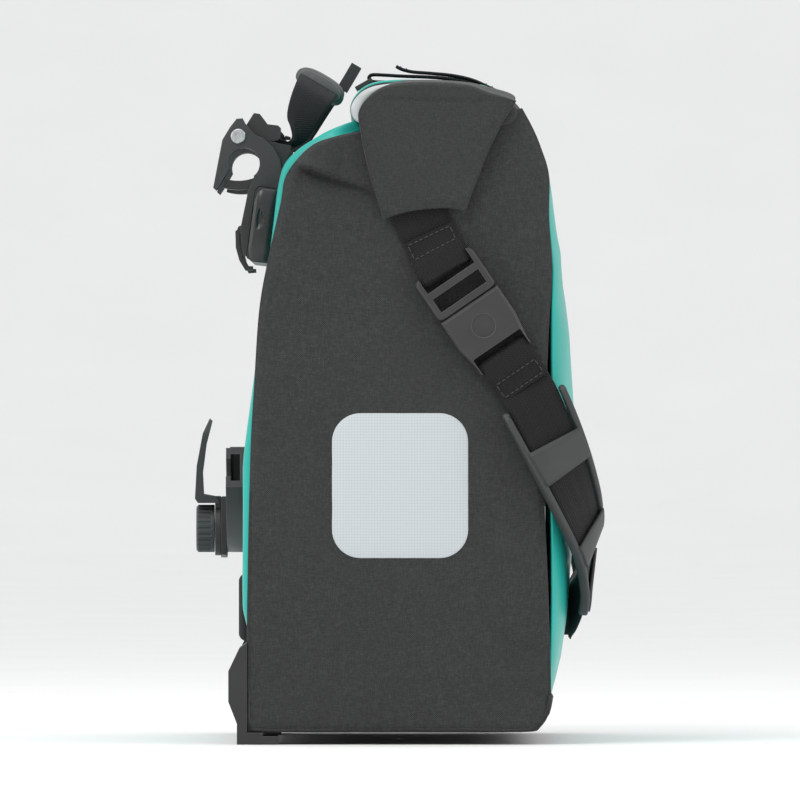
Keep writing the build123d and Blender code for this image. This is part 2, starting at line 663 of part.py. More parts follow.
def pads_and_guards():
    pad = box(back_x - 4.2, back_x, -half_width + 46.0, -half_width + 66.0, base_z + 41.0, base_z + 72.0)
    pad = fillet(pad.faces().sort_by(Axis.X)[0].edges(), 3.6)
    both_sides("spacer_pad", pad)
    y0, y1 = -half_width, -half_width + guard_width
    shell = Polygon(
        (back_x, base_z + guard_tall), (back_x - 3.5, base_z + guard_tall - 2.5), (back_x - 8.5, base_z + 28.0),
        (back_x - 8.5, base_z + 14.0), (back_x - 4.6, base_z + 4.0), (back_x - 4.6, 0.0), (back_x + guard_foot, 0.0),
        (back_x + guard_foot, base_z - 1.6), (back_x + 7.0, base_z - 1.6), (back_x + 7.0, base_z), (back_x, base_z),
        align=None,
    )
    guard = slab(shell, y0, y1) - slab(outline, y0 - 1, y1 + 1)
    screws = []
    for z in (base_z + 17.0, base_z + 32.0):
        y = y0 + guard_width / 2
        guard -= rod_x(y, z, 3.6, back_x - 12.0, back_x - 3.0)
        guard -= rod_x(y, z, 1.9, back_x - 4.0, back_x + 0.1)
        screws.append(rod_x(y, z, 1.9, back_x - 3.0, back_x + 0.0) + rod_x(y, z, 3.5, back_x - 4.6, back_x - 3.0))
    both_sides("corner_guard", guard)
    parts["guard_screws"] = screws + [mirrored(screw) for screw in screws]


# ---------------------------------------------------------------- side buckles and straps
buckle_out = half_width + clearance + 5.0
buckle_x, buckle_z = seam_x - 34.0, neck_z - 82.5
along_x, along_z = 0.565, -0.825
buckle_plane = Plane(origin=(buckle_x, -buckle_out, buckle_z), x_dir=(along_x, 0, along_z), z_dir=(0, -1, 0))
half_buckle = buckle_length / 2
bar_out = -1.3
strap_loop = 3.5
foot_bar = half_buckle - 2.2
path_steps = 4
frame_first, frame_last = 2 * path_steps, 8 * path_steps


def in_buckle(solid):
    return buckle_plane.location * solid


def local_box(x0, x1, half_y, z0, z1):
    return box(x0, x1, -half_y, half_y, z0, z1)


def cross_rod(x, z, radius, length):
    return Pos(x, 0, z) * Rot(90, 0, 0) * Cylinder(radius, length)


def buckle_male():
    # Frame with a sewing bar, two sprung arms and a guide tongue; long axis is the sketch's first axis.
    half_w = buckle_width / 2
    top = -half_buckle
    plate = Pos((top - 4.5) / 2, 0, 0) * extrude(RectangleRounded(-4.5 - top, 2 * half_w, 3.0), amount=3.5, both=True)
    plate = chamfer(plate.faces().sort_by(Axis.Z)[-1].edges(), 0.7)
    plate -= local_box(top - 1, top + 7.6, webbing / 2 + 0.4, -5, 5)
    plate -= local_box(top + 11.0, top + 18.0, webbing / 2, -5, 5)
    plate += cross_rod(top + 2.2, bar_out, 1.6, webbing + 2.0)
    arms = local_box(-5.0, 9.0, 2.0, -1.6, 1.6)
    for side in (-1, 1):
        stem = Polygon((-5.0, side * 8.2), (13.0, side * 9.0), (13.0, side * 12.0), (10.5, side * 13.2),
                       (4.8, side * 13.2), (4.8, side * 12.0), (-5.0, side * 11.6), align=None)
        arms += extrude(stem, amount=2.2, both=True)
    return in_buckle(plate + arms)


def buckle_female():
    # Socket with side windows for the arms' ears and a sewing bar at its foot.
    half_w = buckle_width / 2
    foot = half_buckle
    half_t = buckle_thickness / 2
    shape = Polygon((-4.2, -half_w), (10.0, -half_w), (foot, -half_w + 2.6), (foot, half_w - 2.6), (10.0, half_w),
                    (-4.2, half_w), align=None)
    body = extrude(shape, amount=half_t, both=True)
    body = chamfer(body.faces().sort_by(Axis.Z)[-1].edges(), 1.1)
    body -= local_box(-6.0, 16.0, 13.7, -2.8, 2.8)
    body -= local_box(4.2, 12.4, half_w + 2, -2.8, 2.8)
    body -= local_box(foot - 8.4, foot + 3, webbing / 2 + 0.4, -8, 8)
    body -= Pos(7.5, 0, half_t) * Cylinder(5.5, 1.2)
    body += cross_rod(foot - 2.2, 0, 1.6, webbing + 2.0)
    return in_buckle(body)


def strap_ring(x, z):
    ring = cross_rod(x, z, strap_loop, webbing) - cross_rod(x, z, strap_loop - webbing_thickness + 0.1, webbing + 2)
    return in_buckle(ring)


def closing_strap_upper():
    # Short webbing from under the folded-down roll end to the buckle's upper part.
    inner = -half_width - clearance
    start_u = -half_buckle + 2.2
    sx, sz = buckle_x + along_x * start_u, buckle_z + along_z * start_u
    ux, uz = neck_x + 22.5, neck_z - 29.5
    length = hypot(sx - ux, sz - uz)
    nx, nz = (uz - sz) / length, (sx - ux) / length
    h = webbing / 2
    lower_nx, lower_nz = -along_z, along_x
    flat = Polygon((sx + lower_nx * h, sz + lower_nz * h), (ux + nx * h, uz + nz * h), (ux - nx * h, uz - nz * h),
                   (sx - lower_nx * h, sz - lower_nz * h), align=None)
    bar = in_buckle(cross_rod(start_u, bar_out, strap_loop - webbing_thickness + 0.1, webbing + 4))
    strap = slab(flat, inner - webbing_thickness, inner) - bar
    return strap + strap_ring(start_u, bar_out)


def corner_route():
    # Stations (x, y, z, turn) of the strap's middle line where the frame hugs the front corner.
    return [
        (seam_x - 6.8, -half_width - 4.4, base_z + 150.5, 12.0),
        (seam_x + 4.0, -half_width - 2.6, base_z + 127.5, 32.0),
        (seam_x + 10.6, -half_width + 3.0, base_z + 112.0, 44.0),
        (seam_x + 15.6, -half_width + 10.5, base_z + 99.0, 55.0),
        (seam_x + 18.6, -half_width + 19.0, base_z + 88.0, 66.0),
        (seam_x + 18.6, -half_width + 30.0, base_z + 77.0, 78.0),
        (seam_x + 16.4, -half_width + 42.0, base_z + 67.0, 88.0),
    ]


def strap_frame():
    # Two rails that bend round the corner beside the strap, tied by two cross bars over it.
    route = strap_path()
    inner_edge = webbing / 2 + 0.5
    rails = strip(route, inner_edge, inner_edge + 3.2, -2.6, 2.2, frame_first, frame_last)
    rails += strip(route, -inner_edge - 3.2, -inner_edge, -2.6, 2.2, frame_first, frame_last)
    for first, last in ((3, 6), (14, 17), (21, 24)):
        bar = (frame_first + first, frame_first + last)
        rails += strip(route, -inner_edge - 1.0, inner_edge + 1.0, 1.8, 3.2, *bar)
    return rails


def strap_path():
    # Middle line of the lower strap, from the buckle's foot round the corner to the front anchor.
    ex, ez = buckle_x + along_x * foot_bar, buckle_z + along_z * foot_bar
    tangent_out = -buckle_out + strap_loop - webbing_thickness / 2 - 0.12
    return spread([
        (ex, tangent_out, ez, 0.0),
        ((ex + seam_x - 6.8) / 2 + 0.5, tangent_out - 0.3, (ez + base_z + 150.5) / 2, 3.0),
        *corner_route(),
        (seam_x + 13.2, -half_width + 64.0, base_z + 58.5, 90.0),
        (anchor_x(68.0) + 1.6, -anchor_half - 20.0, base_z + 55.0, 90.0),
        (anchor_x(68.0) + 1.4, -anchor_half - 0.8, base_z + 53.5, 90.0),
    ], path_steps)


def closing_strap_lower():
    # Webbing from the buckle's foot, through the corner frame, to the anchor on the front panel.
    half = webbing_thickness / 2
    strap = strip(strap_path(), -webbing / 2, webbing / 2, -half, half)
    bar = in_buckle(cross_rod(foot_bar, 0, strap_loop - webbing_thickness + 0.1, webbing + 6))
    return (strap - bar) + strap_ring(foot_bar, 0)


anchor_half = 20.0


def anchor_x(height):
    # Outer face of the front panel's crown at this height above the bag bottom.
    z = base_z + height
    chord = (bulge_top_z - seam_z) / 2
    radius = (chord**2 + front_bulge**2) / (2 * front_bulge)
    from_middle = z - (seam_z + bulge_top_z) / 2
    return seam_x + front_bulge - radius + sqrt(radius**2 - from_middle**2)


def front_anchor():
    # Moulded plate riveted to the front panel that holds both straps' ends.
    reach = anchor_x(53.0) + 5.6
    plate = box(seam_x, reach, -anchor_half, anchor_half, base_z + 43.0, base_z + 63.0)
    plate = fillet(plate.faces().sort_by(Axis.X)[-1].edges(), 3.0)
    plate -= swell
    rivets = []
    for y in (-11.0, 11.0):
        seat = rod_x(y, base_z + 53.0, 3.0, reach - 0.8, reach + 2)
        shank = rod_x(y, base_z + 53.0, 1.6, anchor_x(53.0) - wall - 1.0, reach - 0.8)
        plate = plate - seat - shank
        parts["front_panel"] -= shank
        head = rod_x(y, base_z + 53.0, 2.8, reach - 0.8, reach + 0.2)
        washer = rod_x(y, base_z + 53.0, 4.0, anchor_x(53.0) - wall - 2.4, anchor_x(53.0) - wall - 0.9)
        rivets.append(shank + head + washer)
    parts["front_anchor"] = plate
    parts["anchor_rivets"] = rivets


# ---------------------------------------------------------------- build
fabric_panels()
back_board()
roll_top()
both_sides("roll_end", roll_end())
both_sides("reflector", reflector())
top_rail()
rail_screws()
both_sides("hook_body", hook_body())
both_sides("lock_lever", lock_lever())
both_sides("pivot_rivet", pivot_rivet())
both_sides("rail_latch", rail_latch())
handle()
handle_buckle()
top_strap()
top_buckle_hook()
lower_rail()
lower_hook()
pads_and_guards()
both_sides("buckle_male", buckle_male())
both_sides("buckle_female", buckle_female())
both_sides("closing_strap_upper", closing_strap_upper())
both_sides("strap_frame", strap_frame())
both_sides("closing_strap_lower", closing_strap_lower())
front_anchor()

solids_of = {name: part if isinstance(part, list) else [part] for name, part in parts.items()}
boxes = [solid.bounding_box() for solids in solids_of.values() for solid in solids]
shift = -(min(b.min.X for b in boxes) + max(b.max.X for b in boxes)) / 2
print("shift along X to centre the whole pannier:", round(shift, 4))
for name, solids in solids_of.items():
    moved = [Pos(shift, 0, 0) * solid for solid in solids]
    export_step(moved[0] if len(moved) == 1 else Compound(children=moved), "parts/" + name + ".step")
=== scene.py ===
import bpy
import bmesh
import math
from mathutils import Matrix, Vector, noise


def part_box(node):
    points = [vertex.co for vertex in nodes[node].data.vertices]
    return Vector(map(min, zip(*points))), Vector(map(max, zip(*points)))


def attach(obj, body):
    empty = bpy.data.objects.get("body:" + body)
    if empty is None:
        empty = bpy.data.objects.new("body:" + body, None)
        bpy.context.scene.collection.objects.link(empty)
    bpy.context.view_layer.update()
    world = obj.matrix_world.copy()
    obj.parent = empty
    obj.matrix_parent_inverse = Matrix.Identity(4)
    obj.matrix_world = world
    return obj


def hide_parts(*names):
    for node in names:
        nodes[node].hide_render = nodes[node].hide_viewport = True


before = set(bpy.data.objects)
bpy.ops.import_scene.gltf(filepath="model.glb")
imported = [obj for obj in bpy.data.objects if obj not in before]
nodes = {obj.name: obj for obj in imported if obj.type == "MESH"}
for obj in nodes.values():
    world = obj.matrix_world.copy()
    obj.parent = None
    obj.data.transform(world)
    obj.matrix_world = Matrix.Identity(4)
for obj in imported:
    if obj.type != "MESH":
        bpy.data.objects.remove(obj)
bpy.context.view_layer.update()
mm = 0.001

# sizes below are in mm on the bag's own drawing; the side panel says where that drawing lies
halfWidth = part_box("side_panel_far")[1].y / mm
panelMid = (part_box("front_panel")[1].x / mm - 13.0) - 68.75


def spot(x, y, z):
    return Vector(((x + panelMid) * mm, y * mm, z * mm))


# ------------------------------------------------------------ small mesh tools
def smooth01(t):
    t = min(1.0, max(0.0, t))
    return t * t * (3 - 2 * t)


def bump(x, z, cx, cz, rx, rz):
    return math.exp(-(((x - cx) / rx) ** 2 + ((z - cz) / rz) ** 2))


def wobble(x, y, z, size, seed=0.0):
    return noise.noise(Vector((x / size + seed, y / size - seed, z / size + 0.37 * seed)))


def curveThrough(points, count):
    # even steps along a smooth line through the given points
    pts = [Vector(p) for p in points]
    dense = []
    for i in range(len(pts) - 1):
        a, b = pts[max(i - 1, 0)], pts[i]
        c, d = pts[i + 1], pts[min(i + 2, len(pts) - 1)]
        for k in range(16):
            t = k / 16
            dense.append(0.5 * (2 * b + (c - a) * t + (2 * a - 5 * b + 4 * c - d) * t * t
                                + (3 * b - a - 3 * c + d) * t ** 3))
    dense.append(pts[-1])
    reach = [0.0]
    for p, q in zip(dense, dense[1:]):
        reach.append(reach[-1] + (q - p).length)
    line, j = [], 0
    for i in range(count):
        want = reach[-1] * i / (count - 1)
        while j < len(dense) - 2 and reach[j + 1] < want:
            j += 1
        span = reach[j + 1] - reach[j] or 1.0
        line.append(dense[j].lerp(dense[j + 1], min(1.0, (want - reach[j]) / span)))
    return line


def flatCurve(points, count):
    return curveThrough([(x, 0, z) for x, z in points], count)


def along(table, at):
    # value of a (position, value, ...) table, eased between its rows
    if at <= table[0][0]:
        return table[0][1]
    for (a, va), (b, vb) in zip(table, table[1:]):
        if at <= b:
            t = (at - a) / (b - a)
            return va + (vb - va) * t
    return table[-1][1]


def fourSided(low, high, left, right):
    # patch spanned between four edge lines: rows go up, columns go across
    rows = []
    n, m = len(left), len(low)
    for j in range(n):
        v = j / (n - 1)
        row = []
        for i in range(m):
            u = i / (m - 1)
            p = low[i] * (1 - v) + high[i] * v + left[j] * (1 - u) + right[j] * u
            p -= low[0] * (1 - u) * (1 - v) + low[-1] * u * (1 - v) + high[0] * (1 - u) * v + high[-1] * u * v
            row.append(p)
        rows.append(row)
    return rows


def meshFrom(name, points, faces, uvs=None):
    mesh = bpy.data.meshes.new(name)
    mesh.from_pydata([tuple(p) for p in points], [], faces)
    if uvs:
        layer = mesh.uv_layers.new(name="UVMap")
        for loop in mesh.loops:
            layer.data[loop.index].uv = uvs[loop.vertex_index]
    mesh.validate()
    mesh.shade_smooth()
    piece = bpy.data.objects.new(name, mesh)
    bpy.context.scene.collection.objects.link(piece)
    return piece


def sheetFrom(name, rows, closed=False, caps=False, uvs=None, flip=False):
    # grid of points to quads; closed joins the last column to the first
    count = len(rows[0])
    points = [p for row in rows for p in row]
    faces = []
    for j in range(len(rows) - 1):
        for i in range(count if closed else count - 1):
            k = (i + 1) % count
            quad = [j * count + i, j * count + k, (j + 1) * count + k, (j + 1) * count + i]
            faces.append(quad[::-1] if flip else quad)
    if caps:
        first, last = list(range(count)), [(len(rows) - 1) * count + i for i in range(count)]
        faces.append(first if flip else first[::-1])
        faces.append(last[::-1] if flip else last)
    return meshFrom(name, points, faces, uvs)


def shape(piece, kind, **settings):
    # adds a modifier with its settings
    made = piece.modifiers.new(kind.title(), kind)
    for name, value in settings.items():
        setattr(made, name, value)
    return made


def thicken(piece, thickness, offset=-1.0, rounding=0.0):
    shape(piece, "SOLIDIFY", thickness=thickness * mm, offset=offset, use_even_offset=True)
    if rounding:
        shape(piece, "BEVEL", width=rounding * mm, segments=2, limit_method="ANGLE", angle_limit=math.radians(50))


def dress(piece, material):
    piece.data.materials.clear()
    piece.data.materials.append(material)
    return piece


def join(name, pieces):
    # several pieces of one material become one
    mesh = bpy.data.meshes.new(name)
    work = bmesh.new()
    for piece in pieces:
        deps = bpy.context.evaluated_depsgraph_get()
        work.from_mesh(piece.evaluated_get(deps).to_mesh())
        bpy.data.objects.remove(piece)
    work.to_mesh(mesh)
    work.free()
    mesh.shade_smooth()
    whole = bpy.data.objects.new(name, mesh)
    bpy.context.scene.collection.objects.link(whole)
    return whole


def toFarSide(piece):
    for v in piece.data.vertices:
        v.co.y = -v.co.y
    piece.data.flip_normals()


def mirroredCopy(piece, name):
    # the far side's twin
    mesh = piece.data.copy()
    for v in mesh.vertices:
        v.co.y = -v.co.y
    mesh.flip_normals()
    twin = bpy.data.objects.new(name, mesh)
    bpy.context.scene.collection.objects.link(twin)
    for old in piece.modifiers:
        new = twin.modifiers.new(old.name, old.type)
        for prop in old.bl_rna.properties:
            if not prop.is_readonly and prop.identifier not in ("name", "type"):
                setattr(new, prop.identifier, getattr(old, prop.identifier))
    return twin


# ------------------------------------------------------------ materials
def colour(code):
    # sRGB hex to linear
    parts = [int(code[i:i + 2], 16) / 255 for i in (1, 3, 5)]
    return tuple(c / 12.92 if c <= 0.04045 else ((c + 0.055) / 1.055) ** 2.4 for c in parts) + (1.0,)


def addNode(tree, kind, inputs=None, **settings):
    node = tree.nodes.new(kind)
    for name, value in settings.items():
        setattr(node, name, value)
    for name, value in (inputs or {}).items():
        socket = node.inputs[name]
        if isinstance(value, bpy.types.NodeSocket):
            tree.links.new(value, socket)
        else:
            socket.default_value = value
    return node


def newMaterial(name, **surface):
    made = bpy.data.materials.new(name)
    made.use_nodes = True
    tree = made.node_tree
    tree.nodes.clear()
    shader = addNode(tree, "ShaderNodeBsdfPrincipled", surface)
    out = addNode(tree, "ShaderNodeOutputMaterial")
    tree.links.new(shader.outputs[0], out.inputs["Surface"])
    return made, tree, shader


def ramp(tree, factor, stops):
    node = addNode(tree, "ShaderNodeValToRGB", {"Fac": factor})
    marks = node.color_ramp.elements
    marks[0].position, marks[0].color = stops[0]
    marks[1].position, marks[1].color = stops[-1]
    for position, value in stops[1:-1]:
        marks.new(position).color = value
    return node.outputs["Color"]


def multiplyAdd(tree, value, factor, added):
    return addNode(tree, "ShaderNodeMath", {0: value, 1: factor, 2: added}, operation="MULTIPLY_ADD").outputs[0]


def rescale(tree, value, **limits):
    named = {name.replace("_", " "): number for name, number in limits.items()}
    return addNode(tree, "ShaderNodeMapRange", {"Value": value, **named}).outputs[0]


def paint(tree, shader, factor, stops):
    tree.links.new(ramp(tree, factor, [(at, colour(code)) for at, code in stops]), shader.inputs["Base Color"])


def bandScale(period):
    # wave texture scale that repeats every period, in metres
    return math.pi / (10 * period)


def weaveHeight(tree, where, thread):
    # over-and-under threads of a plain weave, slightly uneven
    swim = addNode(tree, "ShaderNodeTexNoise", {"Vector": where, "Scale": 90.0, "Detail": 3.0})
    drift = addNode(tree, "ShaderNodeVectorMath", {0: swim.outputs["Color"], 1: (thread * 0.9,) * 3},
                    operation="MULTIPLY")
    moved = addNode(tree, "ShaderNodeVectorMath", {0: where, 1: drift.outputs[0]}, operation="ADD").outputs[0]
    threads = [
        addNode(tree, "ShaderNodeTexWave", {"Vector": moved, "Scale": bandScale(2 * thread)}, bands_direction=axis)
        for axis in ("X", "Z")
    ]
    centred = [addNode(tree, "ShaderNodeMath", {0: t.outputs["Fac"], 1: 0.5}, operation="SUBTRACT").outputs[0]
               for t in threads]
    return addNode(tree, "ShaderNodeMath", {0: centred[0], 1: centred[1]}, operation="MULTIPLY").outputs[0]


def wovenFabric():
    # heather-grey woven polyester, coated on the inside: matte, with pale and dark threads side by side
    info = {"thread": 0.5 * mm, "dark": "#151616", "middle": "#262827", "light": "#3a3c3b"}
    made, tree, shader = newMaterial("woven polyester, coated inside", Roughness=0.78, IOR=1.5)
    where = addNode(tree, "ShaderNodeTexCoord").outputs["Object"]
    height = weaveHeight(tree, where, info["thread"])
    streaks = []
    for stretch in ((420.0, 420.0, 1900.0), (1900.0, 420.0, 420.0)):
        lane = addNode(tree, "ShaderNodeMapping", {"Vector": where, "Scale": stretch})
        streak = addNode(tree, "ShaderNodeTexNoise", {"Vector": lane.outputs[0], "Scale": 1.0, "Detail": 2.0})
        streaks.append(streak.outputs["Fac"])
    heather = addNode(tree, "ShaderNodeMath", {0: streaks[0], 1: streaks[1]}, operation="ADD")
    patchy = addNode(tree, "ShaderNodeTexNoise", {"Vector": where, "Scale": 22.0, "Detail": 2.0})
    spread = multiplyAdd(tree, patchy.outputs["Fac"], 0.15, heather.outputs[0])
    tone = rescale(tree, multiplyAdd(tree, height, 1.3, spread), From_Min=0.6, From_Max=1.6)
    paint(tree, shader, tone, [(0.0, info["dark"]), (0.5, info["middle"]), (1.0, info["light"])])
    rise = multiplyAdd(tree, heather.outputs[0], 0.25, height)
    grain = addNode(tree, "ShaderNodeBump", {"Height": rise, "Strength": 0.6, "Distance": 0.3 * mm})
    tree.links.new(grain.outputs[0], shader.inputs["Normal"])
    shader.inputs["Sheen Weight"].default_value = 0.08
    shader.inputs["Sheen Roughness"].default_value = 0.5
    return made


def coatedFabric():
    # smooth thermoplastic-coated fabric, welded: a soft wet-looking sheen over a faint cloth grain
    info = {"body": "#27ab9f", "deep": "#229a8f", "grain": 0.8 * mm}
    made, tree, shader = newMaterial("coated polyester, teal", IOR=1.5)
    shader.inputs["Specular IOR Level"].default_value = 0.3
    where = addNode(tree, "ShaderNodeTexCoord").outputs["Object"]
    cloud = addNode(tree, "ShaderNodeTexNoise", {"Vector": where, "Scale": 14.0, "Detail": 3.0})
    paint(tree, shader, cloud.outputs["Fac"], [(0.3, info["deep"]), (0.62, info["body"])])
    rub = addNode(tree, "ShaderNodeTexNoise", {"Vector": where, "Scale": 60.0, "Detail": 4.0})
    tree.links.new(rescale(tree, rub.outputs["Fac"], To_Min=0.3, To_Max=0.46), shader.inputs["Roughness"])
    cloth = weaveHeight(tree, where, info["grain"])
    crinkle = multiplyAdd(tree, cloud.outputs["Fac"], 6.0, cloth)
    relief = addNode(tree, "ShaderNodeBump", {"Height": crinkle, "Strength": 0.1, "Distance": 0.3 * mm})
    tree.links.new(relief.outputs[0], shader.inputs["Normal"])
    return made


def paintedReflectionFilm():
    # painted reflection: pale grey that stands in for the softbox reflection on the roll's rounded teal end, not a
    # colour of the fabric
    made, tree, shader = newMaterial("painted reflection, pale grey", Roughness=0.5, IOR=1.5)
    where = addNode(tree, "ShaderNodeTexCoord").outputs["Object"]
    cloud = addNode(tree, "ShaderNodeTexNoise", {"Vector": where, "Scale": 120.0, "Detail": 3.0})
    paint(tree, shader, cloud.outputs["Fac"], [(0.3, "#a9adad"), (0.7, "#c4c8c8")])
    relief = addNode(tree, "ShaderNodeBump", {"Height": cloud.outputs["Fac"], "Strength": 0.15, "Distance": 0.4 * mm})
    tree.links.new(relief.outputs[0], shader.inputs["Normal"])
    return made


def reflectiveFilm():
    # heat-pressed retroreflective film: flat pale silver with a fine honeycomb of beads
    info = {"cell": 1.3 * mm, "silver": "#c3c9cc", "line": "#adb3b6"}
    made, tree, shader = newMaterial("retroreflective film, heat pressed", Roughness=0.42, IOR=1.5)
    where = addNode(tree, "ShaderNodeTexCoord").outputs["Object"]
    flat = addNode(tree, "ShaderNodeMapping", {"Vector": where, "Scale": (1.0, 0.0, 1.0)})
    cells = addNode(tree, "ShaderNodeTexVoronoi", {"Vector": flat.outputs[0], "Scale": 1 / info["cell"],
                                                   "Randomness": 0.15}, feature="DISTANCE_TO_EDGE")
    edge = addNode(tree, "ShaderNodeMapRange", {"Value": cells.outputs["Distance"], "From Max": 0.12})
    paint(tree, shader, edge.outputs[0], [(0.0, info["line"]), (1.0, info["silver"])])
    smear = addNode(tree, "ShaderNodeTexNoise", {"Vector": where, "Scale": 45.0, "Detail": 3.0})
    worn = addNode(tree, "ShaderNodeMapRange", {"Value": smear.outputs["Fac"], "To Min": 0.36, "To Max": 0.52})
    tree.links.new(worn.outputs[0], shader.inputs["Roughness"])
    relief = addNode(tree, "ShaderNodeBump", {"Height": edge.outputs[0], "Strength": 0.25, "Distance": 0.1 * mm})
    tree.links.new(relief.outputs[0], shader.inputs["Normal"])
    return made


def wovenWebbing():
    # flat polyester webbing: chevron ribs across, tight selvedge, slight nap; UV is metres along and across
    info = {"rib": 1.25 * mm, "column": 3.1 * mm, "base": "#0c0c0d", "crest": "#1f1f20"}
    made, tree, shader = newMaterial("polyester webbing, black", Roughness=0.72, IOR=1.5)
    shader.inputs["Specular IOR Level"].default_value = 0.25
    where = addNode(tree, "ShaderNodeTexCoord").outputs["UV"]
    axes = addNode(tree, "ShaderNodeSeparateXYZ", {"Vector": where})
    fold = addNode(tree, "ShaderNodeMath", {0: axes.outputs["Y"], 1: info["column"]}, operation="PINGPONG")
    slant = multiplyAdd(tree, fold.outputs[0], 0.75, axes.outputs["X"])
    joined = addNode(tree, "ShaderNodeCombineXYZ", {"X": slant, "Y": axes.outputs["Y"]})
    ribs = addNode(tree, "ShaderNodeTexWave", {"Vector": joined.outputs[0], "Scale": bandScale(info["rib"])},
                   bands_direction="X")
    lanes = addNode(tree, "ShaderNodeTexWave", {"Vector": where, "Scale": bandScale(info["column"] / 2)},
                    bands_direction="Y")
    fuzz = addNode(tree, "ShaderNodeTexNoise", {"Vector": where, "Scale": 1800.0, "Detail": 2.0})
    height = multiplyAdd(tree, lanes.outputs["Fac"], 0.35, ribs.outputs["Fac"])
    rough = multiplyAdd(tree, fuzz.outputs["Fac"], 0.5, height)
    paint(tree, shader, rescale(tree, rough, From_Max=1.6), [(0.0, info["base"]), (1.0, info["crest"])])
    relief = addNode(tree, "ShaderNodeBump", {"Height": rough, "Strength": 0.6, "Distance": 0.3 * mm})
    tree.links.new(relief.outputs[0], shader.inputs["Normal"])
    shader.inputs["Sheen Weight"].default_value = 0.03
    return made


def mouldedPlastic(name, shade, worn, roughness, grainSize, grainDepth, edge=0.35):
    # injection-moulded part: spark-eroded grain, softened edges that rub paler, faint flow mottling
    made, tree, shader = newMaterial(name, IOR=1.53)
    where = addNode(tree, "ShaderNodeTexCoord").outputs["Object"]
    flow = addNode(tree, "ShaderNodeTexNoise", {"Vector": where, "Scale": 60.0, "Detail": 3.0})
    base = ramp(tree, flow.outputs["Fac"], [(0.25, colour(shade)), (0.8, colour(worn))])
    bevel = addNode(tree, "ShaderNodeBevel", {"Radius": edge * mm}, samples=6)
    shine = addNode(tree, "ShaderNodeNewGeometry")
    bend = addNode(tree, "ShaderNodeVectorMath", {0: bevel.outputs[0], 1: shine.outputs["Normal"]},
                   operation="DOT_PRODUCT")
    rubbed = rescale(tree, bend.outputs["Value"], From_Min=0.86, From_Max=0.995, To_Min=0.55, To_Max=0.0)
    mixed = addNode(tree, "ShaderNodeMix", {"Factor": rubbed}, data_type="RGBA")
    tree.links.new(base, mixed.inputs["A"])
    mixed.inputs["B"].default_value = colour("#6a6c6c")
    tree.links.new(mixed.outputs["Result"], shader.inputs["Base Color"])
    pits = addNode(tree, "ShaderNodeTexNoise", {"Vector": where, "Scale": 1 / (grainSize * mm), "Detail": 2.0})
    gloss = rescale(tree, flow.outputs["Fac"], To_Min=roughness - 0.06, To_Max=roughness + 0.08)
    tree.links.new(gloss, shader.inputs["Roughness"])
    relief = addNode(tree, "ShaderNodeBump", {"Height": pits.outputs["Fac"], "Strength": 0.35,
                                              "Distance": grainDepth * mm, "Normal": bevel.outputs[0]})
    tree.links.new(relief.outputs[0], shader.inputs["Normal"])
    return made


def turnedSteel():
    # stainless rivets and screws: bright, finely turned
    made, tree, shader = newMaterial("stainless steel, turned", Metallic=1.0, IOR=2.5)
    where = addNode(tree, "ShaderNodeTexCoord").outputs["Object"]
    rings = addNode(tree, "ShaderNodeTexNoise", {"Vector": where, "Scale": 900.0, "Detail": 3.0})
    paint(tree, shader, rings.outputs["Fac"], [(0.2, "#a9abac"), (0.9, "#cfd1d2")])
    gloss = addNode(tree, "ShaderNodeMapRange", {"Value": rings.outputs["Fac"], "To Min": 0.2, "To Max": 0.38})
    tree.links.new(gloss.outputs[0], shader.inputs["Roughness"])
    bevel = addNode(tree, "ShaderNodeBevel", {"Radius": 0.2 * mm}, samples=6)
    relief = addNode(tree, "ShaderNodeBump", {"Height": rings.outputs["Fac"], "Strength": 0.1,
                                              "Distance": 0.05 * mm, "Normal": bevel.outputs[0]})
    tree.links.new(relief.outputs[0], shader.inputs["Normal"])
    return made


def softRubber(name, shade, crest, knurl):
    # thermoplastic rubber: dull, finely ribbed where the hand goes, dusty on the ribs
    made, tree, shader = newMaterial(name, Roughness=0.82, IOR=1.5)
    where = addNode(tree, "ShaderNodeTexCoord").outputs["Object"]
    ribs = addNode(tree, "ShaderNodeTexWave", {"Vector": where, "Scale": bandScale(knurl * mm)}, bands_direction="Y")
    dust = addNode(tree, "ShaderNodeTexNoise", {"Vector": where, "Scale": 400.0, "Detail": 4.0})
    mix = multiplyAdd(tree, dust.outputs["Fac"], 0.5, ribs.outputs["Fac"])
    paint(tree, shader, rescale(tree, mix, From_Max=1.4), [(0.0, shade), (1.0, crest)])
    relief = addNode(tree, "ShaderNodeBump", {"Height": mix, "Strength": 0.5, "Distance": 0.25 * mm})
    tree.links.new(relief.outputs[0], shader.inputs["Normal"])
    return made


def sewingThread():
    # bonded polyester thread, a touch paler than the webbing it holds
    made, tree, shader = newMaterial("bonded sewing thread", Roughness=0.55, IOR=1.5)
    where = addNode(tree, "ShaderNodeTexCoord").outputs["Object"]
    ply = addNode(tree, "ShaderNodeTexNoise", {"Vector": where, "Scale": 2500.0, "Detail": 1.0})
    paint(tree, shader, ply.outputs["Fac"], [(0.3, "#1d1d1e"), (0.7, "#3f3f40")])
    relief = addNode(tree, "ShaderNodeBump", {"Height": ply.outputs["Fac"], "Strength": 0.4, "Distance": 0.1 * mm})
    tree.links.new(relief.outputs[0], shader.inputs["Normal"])
    return made


def paperFloor():
    # studio paper: matte and pale, so only a soft contact shadow shows
    made, tree, shader = newMaterial("studio paper", Roughness=0.9, IOR=1.45)
    where = addNode(tree, "ShaderNodeTexCoord").outputs["Object"]
    fibre = addNode(tree, "ShaderNodeTexNoise", {"Vector": where, "Scale": 8.0, "Detail": 2.0})
    paint(tree, shader, fibre.outputs["Fac"], [(0.2, "#f3f3f2"), (0.8, "#f6f6f5")])
    return made


